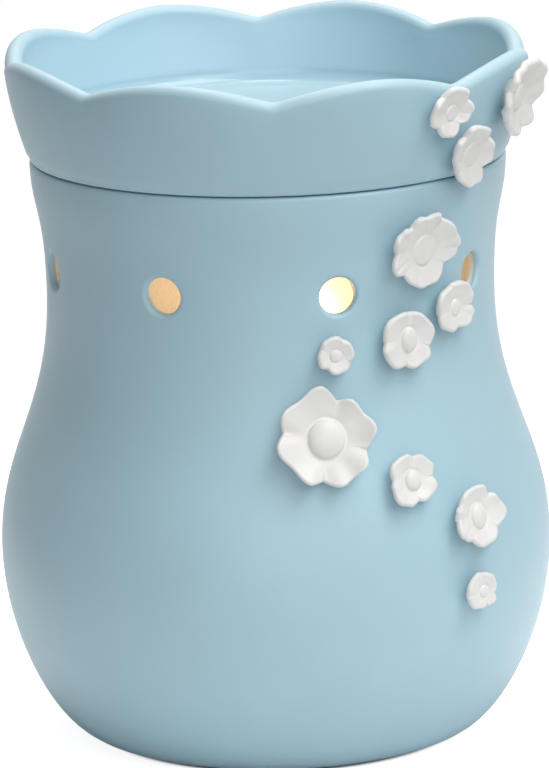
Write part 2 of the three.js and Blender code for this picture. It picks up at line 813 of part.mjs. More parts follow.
// A tongue bent up in the middle, resting on the holder's floor on both sides of the wire hole.
function contactTongue() {
  const half = Math.sqrt((holderBore - seatGap) ** 2 - (tongueWidth / 2) ** 2) - seatGap;
  const rise = tongueTop - tongueThickness - tongueFoot;
  const side = [
    [-half, 0],
    [-half + tongueFootLength, 0],
    [-tongueHeadLength / 2, rise],
    [tongueHeadLength / 2, rise],
    [half - tongueFootLength, 0],
    [half, 0],
  ];
  const strip = [...side, ...side.toReversed().map(([x, y]) => [x, y + tongueThickness])];
  const outline = new THREE.Shape(strip.map(([x, y]) => new THREE.Vector2(x, y)));
  const tongue = new THREE.ExtrudeGeometry(outline, { depth: tongueWidth, bevelEnabled: false });
  return tongue.rotateX(Math.PI / 2).translate(0, tongueWidth / 2, tongueFoot);
}
add('holder_contact', contactTongue(), brassSheet);

// Plates and nuts, from the pads up: pad, base plate, body floor, clamp plate
const basePlateFoot = footRecess - seatGap - plateThickness;
const clampPlateFoot = bodyFloor + seatGap;
const lowerNutFoot = basePlateFoot - seatGap - nutHeight;
const upperNutFoot = clampPlateFoot + plateThickness + seatGap;

function plate(radius, foot) {
  const disc = turnedRing([
    [tubeHole, foot],
    [radius, foot],
    [radius, foot + plateThickness],
    [tubeHole, foot + plateThickness],
  ], lampFacets);
  const vents = Array.from({ length: ventHoles }, (_, i) => {
    const depth = plateThickness + cutterMargin;
    const vent = new THREE.CylinderGeometry(ventRadius, ventRadius, depth, ventFacets);
    const place = heading(radians((i * 360) / ventHoles)).multiplyScalar(ventCircle);
    return vent.rotateX(Math.PI / 2).translate(place.x, place.y, foot + plateThickness / 2);
  });
  return cut(disc, vents);
}
add('base_plate', plate(basePlateRadius, basePlateFoot), zincSteel);
add('clamp_plate', plate(clampPlateRadius, clampPlateFoot), zincSteel);

function nut(foot) {
  const corner = nutAcrossFlats / Math.sqrt(3);
  const hexagon = new THREE.Shape(Array.from({ length: 6 }, (_, i) => (
    new THREE.Vector2(corner, 0).rotateAround(new THREE.Vector2(), (i * Math.PI) / 3))));
  hexagon.holes.push(new THREE.Path().absarc(0, 0, tubeHole, 0, 2 * Math.PI));
  const settings = { depth: nutHeight, bevelEnabled: false, curveSegments: padFacets };
  return new THREE.ExtrudeGeometry(hexagon, settings).translate(0, 0, foot);
}
add('lower_nut', nut(lowerNutFoot), zincSteel);
add('upper_nut', nut(upperNutFoot), zincSteel);

add('threaded_tube', turnedRing([
  [tubeBore, lowerNutFoot - threadEnd],
  [tubeRadius, lowerNutFoot - threadEnd],
  [tubeRadius, holderFloor - holderFloorThickness - seatGap],
  [tubeBore, holderFloor - holderFloorThickness - seatGap],
], smallFacets), zincSteel);

for (let i = 0; i < padCount; i += 1) {
  const place = heading(radians(padTurn + (i * 360) / padCount)).multiplyScalar(padCircle);
  const height = basePlateFoot - seatGap + standHeight;
  const pad = new THREE.CylinderGeometry(padRadius, padRadius - padTaper, height, padFacets);
  pad.rotateX(Math.PI / 2).translate(place.x, place.y, height / 2 - standHeight);
  add(`foot_pad_${i + 1}`, pad, rubber);
}

// Gland: a bush with a flange on each side of the wall. The inner flange clears the wall's curve,
// round the belly and from the belly down to the foot.
const wallCurve = glandFlange ** 2 / (2 * bellyRadius) + glandFlange ** 2 / (2 * bellyHeight);
const glandBack = -bodyWall - wallCurve - 2 * seatGap;
add('cord_gland', turnedRing([
  [glandBore, glandFlangeThickness],
  [glandBore, glandBack - glandFlangeThickness],
  [glandFlange, glandBack - glandFlangeThickness],
  [glandFlange, glandBack],
  [glandNeck, glandBack],
  [glandNeck, 0],
  [glandFlange, 0],
  [glandFlange - glandFlangeBevel, glandFlangeThickness],
], smallFacets), rubber).applyMatrix4(glandFrame(seatGap));

group.position.z = standHeight;

export default group;
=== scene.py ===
"""Electric wax warmer: a glazed lamp body, a lift-off scalloped dish and white ceramic flowers.

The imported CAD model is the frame. Every shape here is a surface worked out with numpy in
millimetres, in the frame's axes (+Z up, -Y to the front), and takes the place of the CAD node it
stands for. Turns are angles from the front towards +X.
"""
import logging
from collections.abc import Mapping, Sequence
from dataclasses import dataclass, field
from enum import Enum
from functools import cache
from typing import Any

import bmesh
import bpy
import numpy as np
from mathutils import Matrix, Vector
from numpy.typing import NDArray


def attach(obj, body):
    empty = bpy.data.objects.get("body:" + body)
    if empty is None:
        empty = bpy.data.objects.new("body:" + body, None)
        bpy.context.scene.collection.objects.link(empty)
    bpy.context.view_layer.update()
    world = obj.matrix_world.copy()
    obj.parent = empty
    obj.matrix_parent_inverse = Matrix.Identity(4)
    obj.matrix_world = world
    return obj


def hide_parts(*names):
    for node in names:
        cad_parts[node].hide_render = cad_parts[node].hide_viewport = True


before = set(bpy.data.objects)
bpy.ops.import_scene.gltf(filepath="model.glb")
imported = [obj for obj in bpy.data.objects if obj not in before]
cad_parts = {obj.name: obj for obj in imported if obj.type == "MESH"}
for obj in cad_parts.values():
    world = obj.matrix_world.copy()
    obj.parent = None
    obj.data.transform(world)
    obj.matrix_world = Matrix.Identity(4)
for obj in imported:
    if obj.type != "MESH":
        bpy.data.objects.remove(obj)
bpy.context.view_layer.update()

Array = NDArray[np.float64]
Ring = tuple[Array | float, Array | float]  # radius and height, alike all round or by turn

log = logging.getLogger("wax_warmer")

MILLIMETRE = 0.001
MERGE_DISTANCE = 2e-6  # points of two patches that meet lie this close together, in metres
SMALLEST_EDGE = 1e-7
LONGEST_CUT = 0.4  # how much of a side a rounding may take up
STAND_HEIGHT = 1.0  # the pads hold the foot ring this far off the table
SEAT_GAP = 0.3  # between two solids of the frame that touch


class Body(Enum):
    """The bodies of the frame that a piece can ride on."""

    BASE = "base"
    DISH = "dish"
    LAMP = "lamp"


class ButtonShape(Enum):
    """How the middle of a flower was pressed."""

    DOME = "dome"
    DISC = "disc"


# Finishes


def linear(hex_colour: str) -> tuple[float, float, float, float]:
    """Turns an sRGB hex colour into a linear one.

    Args:
        hex_colour: Six hex digits after a hash sign.

    Returns:
        Red, green, blue and an alpha of 1.
    """
    channels = [int(hex_colour[i : i + 2], 16) / 255 for i in (1, 3, 5)]
    red, green, blue = (
        c / 12.92 if c <= 0.04045 else ((c + 0.055) / 1.055) ** 2.4 for c in channels
    )
    return red, green, blue, 1.0


def per_metre(size: float) -> float:
    """The scale of a texture whose features are so many millimetres across."""
    return 1 / (size * MILLIMETRE)


def add_node(
    tree: bpy.types.NodeTree,
    kind: str,
    values: Mapping[Any, Any] | None = None,
    links: Mapping[Any, bpy.types.NodeSocket] | None = None,
    **settings: Any,
) -> bpy.types.Node:
    """Adds a node with its settings, its input values and its incoming links.

    Args:
        tree: The node tree to add to.
        kind: The node's type name.
        values: Input names or numbers with the values set on them.
        links: Input names or numbers with the sockets that feed them.
        **settings: The node's own properties.

    Returns:
        The new node.
    """
    made = tree.nodes.new(kind)
    for key, value in settings.items():
        setattr(made, key, value)
    for key, value in (values or {}).items():
        made.inputs[key].default_value = value
    for key, socket in (links or {}).items():
        tree.links.new(socket, made.inputs[key])
    return made


@dataclass(frozen=True)
class Finish:
    """What every finish has: its name, its record slot and how it meets the light."""

    name: str
    slot: str
    colour: str
    roughness: float
    metallic: float = 0.0
    ior: float = 1.5

    def shader(self) -> tuple[bpy.types.Material, bpy.types.Node]:
        """Starts the material with its constants set on the shader's own sockets.

        Returns:
            The material and its Principled shader.
        """
        material = bpy.data.materials.new(self.name)
        material.use_nodes = True
        principled = material.node_tree.nodes["Principled BSDF"]
        principled.inputs["Base Color"].default_value = linear(self.colour)
        principled.inputs["Roughness"].default_value = self.roughness
        principled.inputs["Metallic"].default_value = self.metallic
        if not self.metallic:
            principled.inputs["IOR"].default_value = self.ior
        return material, principled

    def dress(self) -> bpy.types.Material:
        """Makes the plain material."""
        return self.shader()[0]


@cache
def dressed(finish: Finish) -> bpy.types.Material:
    """The material of a finish, made once."""
    return finish.dress()


def dress_node(node: str, finish: Finish) -> None:
    """Gives its finish to a CAD node that is shown as it is.

    Args:
        node: The node's name.
        finish: What it is made of.
    """
    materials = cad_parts[node].data.materials
    materials.clear()
    materials.append(dressed(finish))


@dataclass(frozen=True)
class SatinGlaze(Finish):
    """Dipped and fired satin glaze: soft sheen, cloudy depth, a faint orange-peel surface.

    The cloud varies the colour a little over finger-wide patches, as glaze of uneven thickness
    does. The colour turns paler where a mark says so: over a lip, where the glaze ran thin and a
    painted highlight lies, and on the dish's floor, where it is a painted pool of light from above.
    """

    cloud_colour: str = "#a6c7d3"
    # pale glaze over a lip with a painted highlight, and painted light on the dish's floor
    thin_and_lit_colour: str = "#cfe4ec"
    cloud_size: float = 22.0
    peel_size: float = 1.3  # real orange peel is about half as wide and would not show
    peel_depth: float = 0.012
    sheen_variation: float = 0.06

    def dress(self) -> bpy.types.Material:
        """Builds the material's nodes.

        Returns:
            The finished material.
        """
        material, principled = self.shader()
        tree = material.node_tree
        where = add_node(tree, "ShaderNodeTexCoord").outputs["Object"]
        cloud = add_node(
            tree,
            "ShaderNodeTexNoise",
            {"Scale": per_metre(self.cloud_size), "Detail": 3.0, "Roughness": 0.45},
            {"Vector": where},
        )
        cloudy = add_node(
            tree,
            "ShaderNodeMix",
            {6: linear(self.colour), 7: linear(self.cloud_colour)},
            {0: cloud.outputs["Fac"]},
            data_type="RGBA",
        )
        # the mark of thin glaze and painted light: paler over the lip and on the dish's floor
        thin_and_lit = add_node(tree, "ShaderNodeAttribute", attribute_name="thin_glaze_and_painted_light")
        coloured = add_node(
            tree,
            "ShaderNodeMix",
            {7: linear(self.thin_and_lit_colour)},
            {0: thin_and_lit.outputs["Fac"], 6: cloudy.outputs[2]},
            data_type="RGBA",
        )
        sheen = add_node(
            tree,
            "ShaderNodeMapRange",
            {3: self.roughness - self.sheen_variation, 4: self.roughness + self.sheen_variation},
            {0: cloud.outputs["Fac"]},
        )
        peel = add_node(
            tree,
            "ShaderNodeTexNoise",
            {"Scale": per_metre(self.peel_size), "Detail": 1.0},
            {"Vector": where},
        )
        bump = add_node(
            tree,
            "ShaderNodeBump",
            {"Strength": 1.0, "Distance": self.peel_depth * MILLIMETRE},
            {"Height": peel.outputs["Fac"]},
        )
        tree.links.new(coloured.outputs[2], principled.inputs["Base Color"])
        tree.links.new(sheen.outputs[0], principled.inputs["Roughness"])
        tree.links.new(bump.outputs[0], principled.inputs["Normal"])
        return material


@dataclass(frozen=True)
class FiredClay(Finish):
    """Bare fired clay: chalky, faintly grainy, as the unglazed inside and foot of a casting."""

    grain_colour: str = "#d8d2c6"
    grain_size: float = 0.9
    grain_depth: float = 0.03

    def dress(self) -> bpy.types.Material:
        """Builds the material's nodes.

        Returns:
            The finished material.
        """
        material, principled = self.shader()
        tree = material.node_tree
        where = add_node(tree, "ShaderNodeTexCoord").outputs["Object"]
        grain = add_node(
            tree,
            "ShaderNodeTexNoise",
            {"Scale": per_metre(self.grain_size), "Detail": 4.0, "Roughness": 0.65},
            {"Vector": where},
        )
        coloured = add_node(
            tree,
            "ShaderNodeMix",
            {6: linear(self.colour), 7: linear(self.grain_colour)},
            {0: grain.outputs["Fac"]},
            data_type="RGBA",
        )
        bump = add_node(
            tree,
            "ShaderNodeBump",
            {"Strength": 1.0, "Distance": self.grain_depth * MILLIMETRE},
            {"Height": grain.outputs["Fac"]},
        )
        tree.links.new(coloured.outputs[2], principled.inputs["Base Color"])
        tree.links.new(bump.outputs[0], principled.inputs["Normal"])
        return material


@dataclass(frozen=True)
class LitOpalGlass(Finish):
    """Opal-coated lamp glass, lit by a filament across it, so brightest in front and behind.

    The glow falls off with the distance from the line that runs from front to back through the
    middle of the globe.
    """

    glow_colour: str = "#ffdaad"
    glow: float = 9.0
    dimmest: float = 0.12  # share of the glow that is left at the sides and at the crown
    middle_height: float = 96.0
    glow_reach: float = 20.0  # how far from its middle the globe is dimmest

    def dress(self) -> bpy.types.Material:
        """Builds the material's nodes.

        Returns:
            The finished material.
        """
        material, principled = self.shader()
        tree = material.node_tree
        where = add_node(tree, "ShaderNodeTexCoord").outputs["Object"]
        middle = (0, 0, (self.middle_height + STAND_HEIGHT) * MILLIMETRE)
        away = add_node(tree, "ShaderNodeVectorMath", {1: middle}, {0: where}, operation="SUBTRACT")
        across = add_node(
            tree,
            "ShaderNodeVectorMath",
            {1: (1, 0, 1)},
            {0: away.outputs[0]},
            operation="MULTIPLY",
        )
        apart = add_node(
            tree, "ShaderNodeVectorMath", links={0: across.outputs[0]}, operation="LENGTH"
        )
        glow = add_node(
            tree,
            "ShaderNodeMapRange",
            {2: self.glow_reach * MILLIMETRE, 3: self.glow, 4: self.glow * self.dimmest},
            {0: apart.outputs["Value"]},
            interpolation_type="SMOOTHSTEP",
        )
        principled.inputs["Emission Color"].default_value = linear(self.glow_colour)
        tree.links.new(glow.outputs[0], principled.inputs["Emission Strength"])
        return material


@dataclass(frozen=True)
class ClearGlass(Finish):
    """Drawn lead-free glass: clear, with the faint waviness of a flame-worked stem."""

    wave_size: float = 4.0
    wave_depth: float = 0.05

    def dress(self) -> bpy.types.Material:
        """Builds the material's nodes.

        Returns:
            The finished material.
        """
        material, principled = self.shader()
        tree = material.node_tree
        principled.inputs["Transmission Weight"].default_value = 1.0
        where = add_node(tree, "ShaderNodeTexCoord").outputs["Object"]
        wave = add_node(
            tree, "ShaderNodeTexNoise", {"Scale": per_metre(self.wave_size)}, {"Vector": where}
        )
        bump = add_node(
            tree,
            "ShaderNodeBump",
            {"Distance": self.wave_depth * MILLIMETRE},
            {"Height": wave.outputs["Fac"]},
        )
        tree.links.new(bump.outputs[0], principled.inputs["Normal"])
        return material


@dataclass(frozen=True)
class WorkedMetal(Finish):
    """Sheet or wire with a thin plating: fine handling haze and slightly cloudy brightness."""

    haze_colour: str = "#8f8c85"
    haze_size: float = 3.5
    haze_roughness: float = 0.18
    scratch_size: float = 0.35
    scratch_depth: float = 0.008

    def dress(self) -> bpy.types.Material:
        """Builds the material's nodes.

        Returns:
            The finished material.
        """
        material, principled = self.shader()
        tree = material.node_tree
        where = add_node(tree, "ShaderNodeTexCoord").outputs["Object"]
        haze = add_node(
            tree,
            "ShaderNodeTexNoise",
            {"Scale": per_metre(self.haze_size), "Detail": 5.0, "Roughness": 0.6},
            {"Vector": where},
        )
        coloured = add_node(
            tree,
            "ShaderNodeMix",
            {6: linear(self.colour), 7: linear(self.haze_colour)},
            {0: haze.outputs["Fac"]},
            data_type="RGBA",
        )
        rough = add_node(
            tree,
            "ShaderNodeMapRange",
            {3: self.roughness, 4: self.roughness + self.haze_roughness},
            {0: haze.outputs["Fac"]},
        )
        scratch = add_node(
            tree, "ShaderNodeTexNoise", {"Scale": per_metre(self.scratch_size)}, {"Vector": where}
        )
        bump = add_node(
            tree,
            "ShaderNodeBump",
            {"Distance": self.scratch_depth * MILLIMETRE},
            {"Height": scratch.outputs["Fac"]},
        )
        tree.links.new(coloured.outputs[2], principled.inputs["Base Color"])
        tree.links.new(rough.outputs[0], principled.inputs["Roughness"])
        tree.links.new(bump.outputs[0], principled.inputs["Normal"])
        return material


# Satin glaze on white earthenware: broad soft highlights over a cloudy pale blue.
BLUE_GLAZE = SatinGlaze("blue_satin_glaze", "blue_glaze", "#adcfdd", 0.42)
# The same glaze where it ran together in the dish: smoother, so it mirrors the light above.
POOL_GLAZE = SatinGlaze(
    "blue_gloss_glaze", "blue_glaze", "#adcfdd", 0.16, peel_depth=0.002, sheen_variation=0.03
)
# Satin white glaze on pressed clay: nearly neutral, so that its folds show by shade alone.
WHITE_GLAZE = SatinGlaze(
    "white_satin_glaze",
    "white_glaze",
    "#e8e7e5",
    0.4,
    cloud_colour="#e2e1df",
    thin_and_lit_colour="#eeedec",
    cloud_size=6.0,
)
# Biscuit earthenware inside the shell: chalky cream that passes the lamp's glow on.
FIRED_CLAY = FiredClay("bare_fired_clay", "blue_glaze", "#f4f0e8", 0.85)
# Blown glass coated white inside: no filament shows, only its warm glow.
OPAL_GLASS = LitOpalGlass("lit_opal_glass", "pearl_glass", "#fff3dc", 0.3)
# Drawn lead-free glass: clear, with bent highlights.
STEM_GLASS = ClearGlass("drawn_clear_glass", "clear_glass", "#eef3f4", 0.04)
# Nickel plate on brass: a warm grey mirror with a little haze.
NICKEL = WorkedMetal("nickel_plated_brass", "nickel", "#c9c5bc", 0.2, 1.0)
# Stamped brass sheet: yellow, duller in patches.
BRASS = WorkedMetal("stamped_brass", "brass_sheet", "#cfac62", 0.24, 1.0, haze_colour="#a8843f")
# Drawn tungsten wire: dark grey and nearly matt.
TUNGSTEN = WorkedMetal("drawn_tungsten", "tungsten", "#77777a", 0.45, 1.0)
# Solder that cooled in air: pale grey with a broken shine.
SOLDER = WorkedMetal("cooled_solder", "solder", "#b4b4b0", 0.4, 1.0)
# Moulded black glass: a sharp highlight on a nearly black body.
BLACK_GLASS = FiredClay(
    "black_vitreous_glass", "black_glass", "#17161a", 0.18, grain_colour="#242228"
)
# Pressed porcelain under a clear glaze: cream white and glossy.
PORCELAIN = FiredClay(
    "glazed_porcelain", "porcelain", "#efece3", 0.22, grain_colour="#e3dfd4", grain_depth=0.006
)
# Bright zinc plate on steel: bluish grey with cloudy patches.
ZINC = WorkedMetal("zinc_plated_steel", "zinc_steel", "#b3b8bd", 0.3, 1.0, haze_colour="#8e9499")
# Moulded rubber: charcoal, matt, with a fine grain.
RUBBER = FiredClay("moulded_rubber", "rubber", "#2a2b2d", 0.75, grain_colour="#343537")


# Surfaces


@dataclass
class Patch:
    """A grid of points, rows by columns by 3, in millimetres.

    The columns close on themselves when wrapped. Squares marked in skipped are left open, and
    finish is the number of the material that the patch wears.
    """

    points: Array
    wrapped: bool = True
    skipped: NDArray[np.bool_] | None = None
    finish: int = 0

    def quads(self, first: int) -> NDArray[np.int64]:
        """The corners of the grid's squares.

        Args:
            first: The number of the patch's first point.

        Returns:
            One row of four corners for each square that is kept.
        """
        rows, columns = self.points.shape[:2]
        across = np.arange(columns if self.wrapped else columns - 1)
        low, left = np.meshgrid(np.arange(rows - 1), across, indexing="ij")
        right = (left + 1) % columns
        corners = [low * columns + left, low * columns + right]
        corners += [(low + 1) * columns + right, (low + 1) * columns + left]
        squares = np.stack(corners, axis=-1) + first
        return squares[~self.skipped] if self.skipped is not None else squares.reshape(-1, 4)


def add_piece(
    name: str, patches: Sequence[Patch], body: Body, node: str, *finishes: Finish
) -> bpy.types.Object:
    """Joins patches into one closed, smooth piece that rides on a body and stands for a CAD node.

    Args:
        name: The piece's name.
        patches: Grids whose edges meet point on point.
        body: The body that carries it.
        node: The CAD node that it replaces.
        *finishes: The finishes that the patches are numbered after.

    Returns:
        The new object, at the origin, with its place in its mesh.
    """
    counts = [patch.points.shape[0] * patch.points.shape[1] for patch in patches]
    firsts = np.concatenate([[0], np.cumsum(counts)[:-1]]).astype(int)
    quads = [patch.quads(first) for patch, first in zip(patches, firsts)]
    points = np.concatenate([patch.points.reshape(-1, 3) for patch in patches]) * MILLIMETRE
    mesh = bpy.data.meshes.new(name)
    mesh.from_pydata(points.tolist(), [], np.concatenate(quads).tolist())
    worn = [np.full(len(each), patch.finish) for each, patch in zip(quads, patches)]
    mesh.polygons.foreach_set("material_index", np.concatenate(worn).astype(np.int32))
    edited = bmesh.new()
    edited.from_mesh(mesh)
    bmesh.ops.remove_doubles(edited, verts=edited.verts[:], dist=MERGE_DISTANCE)
    bmesh.ops.dissolve_degenerate(edited, edges=edited.edges[:], dist=SMALLEST_EDGE)
    bmesh.ops.recalc_face_normals(edited, faces=edited.faces[:])
    open_edges = sum(not edge.is_manifold for edge in edited.edges)
    edited.to_mesh(mesh)
    edited.free()
    for finish in finishes:
        mesh.materials.append(dressed(finish))
    mesh.shade_smooth()
    piece = bpy.data.objects.new(name, mesh)
    bpy.context.scene.collection.objects.link(piece)
    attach(piece, body.value)
    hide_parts(node)
    faces = len(mesh.polygons)
    log.info("%s for %s on %s: %d faces, %d open edges", name, node, body.value, faces, open_edges)
    return piece


def ringed(radii: Array | float, heights: Array | float, turns: Array) -> Array:
    """Points round the Z axis, in heights above the foot ring.

    A point at radius r and height z, turned by t, lies at (r sin t, -r cos t, z + stand).

    Args:
        radii: The radius of each point, or one for each ring.
        heights: The height of each point, or one for each ring.
        turns: The angles of the columns.

    Returns:
        The grid of points.
    """
    radii, heights, turns = np.broadcast_arrays(radii, heights + STAND_HEIGHT, turns)
    return np.stack([radii * np.sin(turns), -radii * np.cos(turns), heights], axis=-1)


def turned(profile: Array, turns: Array) -> Array:
    """A profile of radius and height rows carried round the Z axis."""
    return ringed(profile[:, :1], profile[:, 1:], turns)


def stacked(rings: Sequence[Ring], turns: Array) -> tuple[Array, Array]:
    """The radii and heights of rings, with a row for each ring and a column for each turn."""
    rows = [np.broadcast_arrays(radius, height, turns)[:2] for radius, height in rings]
    return np.stack([radius for radius, _ in rows]), np.stack([height for _, height in rows])


def cubic(ends: Sequence[Array], share: Array) -> Array:
    """Points on a cubic curve.

    They are its control points, weighted by the terms of the cube of (1 - share) + share.

    Args:
        ends: The four control points.
        share: How far along the curve each point lies, as a column.

    Returns:
        The points.
    """
    left = 1 - share
    near = left**3 * ends[0] + 3 * left**2 * share * ends[1]
    return near + 3 * left * share**2 * ends[2] + share**3 * ends[3]


def full_turn(columns: int, start: float = 0.0) -> Array:
    """So many equal steps round a circle, from a start angle."""
    return start + np.arange(columns) * 2 * np.pi / columns


def softened(corners: Sequence[tuple[float, float]], radius: float, steps: int = 4) -> Array:
    """A closed outline with its corners rounded.

    Each corner gives way to a quadratic curve that leaves its sides a rounding's length away, or
    at two fifths of a shorter side.

    Args:
        corners: The corners in order.
        radius: The rounding.
        steps: Steps along each rounding.

    Returns:
        The outline's points, with the first repeated at the end.
    """
    points = np.asarray(corners, float)
    before, after = np.roll(points, 1, axis=0), np.roll(points, -1, axis=0)
    share = np.linspace(0, 1, steps + 1)[:, None]
    rounded = []
    for last, corner, following in zip(before, points, after):
        ends = []
        for other in (last, following):
            length = float(np.linalg.norm(other - corner))
            ends.append(corner + (other - corner) * min(radius / length, LONGEST_CUT))
        bent = (1 - share) ** 2 * ends[0] + 2 * share * (1 - share) * corner
        rounded.append(bent + share**2 * ends[1])
    outline = np.concatenate(rounded)
    return np.concatenate([outline, outline[:1]])


def capped(corners: Sequence[tuple[float, float]], radius: float, steps: int = 4) -> Array:
    """A rounded outline from the axis back to the axis.

    Args:
        corners: The corners in order, the first and the last on the axis.
        radius: The rounding of every corner between them.
        steps: Steps along each rounding.

    Returns:
        The outline's points.
    """
    ring = softened(corners, radius, steps)[:-1].reshape(len(corners), steps + 1, 2)
    inner = ring[1:-1].reshape(-1, 2)
    return np.concatenate([[corners[0]], inner, [corners[-1]]])


def steps_between(points: Array, longest: float) -> Array:
    """The same polyline with more points: each side is cut into equal steps.

    Args:
        points: The polyline, one row for each point.
        longest: The longest step that may be left.

    Returns:
        The points, the old ones among them.
    """
    pieces = []
    for start, end in zip(points[:-1], points[1:]):
        count = max(1, int(np.ceil(np.linalg.norm(end - start) / longest)))
        share = np.arange(count)[:, None] / count
        pieces.append(start + (end - start) * share)
    return np.concatenate([*pieces, points[-1:]])


def placed(points: Array, place: Array) -> Array:
    """Points moved by a 4 by 4 matrix."""
    return points @ place[:3, :3].T + place[:3, 3]


def heading(turn: float) -> Array:
    """The direction across the table at a turn from the front."""
    return np.array([np.sin(turn), -np.cos(turn), 0.0])


def surface_frame(
    radius: float, out: float, up: float, turn: float, height: float, gap: float
) -> Array:
    """A frame on the outside of the body or the dish.

    Args:
        radius: The surface's radius there.
        out: The outward part of the surface's normal.
        up: The upward part of it.
        turn: The angle from the front.
        height: The height above the foot ring.
        gap: How far the frame stands off the surface.

    Returns:
        A 4 by 4 matrix with +Z straight out of the surface and +Y up along it.
    """
    across = heading(turn)
    outwards = across * out + np.array([0, 0, up])
    outwards /= np.linalg.norm(outwards)
    sideways = heading(turn + np.pi / 2)
    place = np.eye(4)
    place[:3, 0] = sideways
    place[:3, 1] = np.cross(outwards, sideways)
    place[:3, 2] = outwards
    place[:3, 3] = across * radius + np.array([0, 0, height + STAND_HEIGHT]) + outwards * gap
    return place


def window_loop(turns: Array, lengths: Array) -> tuple[Array, Array]:
    """The points round a window, once round from the middle of its right side.

    Args:
        turns: The angles of its columns.
        lengths: The lengths of its rows, an odd number of them.

    Returns:
        The angle and the length of each point.
    """
    middle = len(lengths) // 2
    right, left = turns[-1], turns[0]
    top, bottom = lengths[-1], lengths[0]
    sides = [
        (np.full(middle + 1, right), lengths[middle:]),
        (turns[-2::-1], np.full(len(turns) - 1, top)),
        (np.full(len(lengths) - 1, left), lengths[-2::-1]),
        (turns[1:], np.full(len(turns) - 1, bottom)),
        (np.full(middle - 1, right), lengths[1:middle]),
    ]
    return np.concatenate([s[0] for s in sides]), np.concatenate([s[1] for s in sides])


# The lamp body


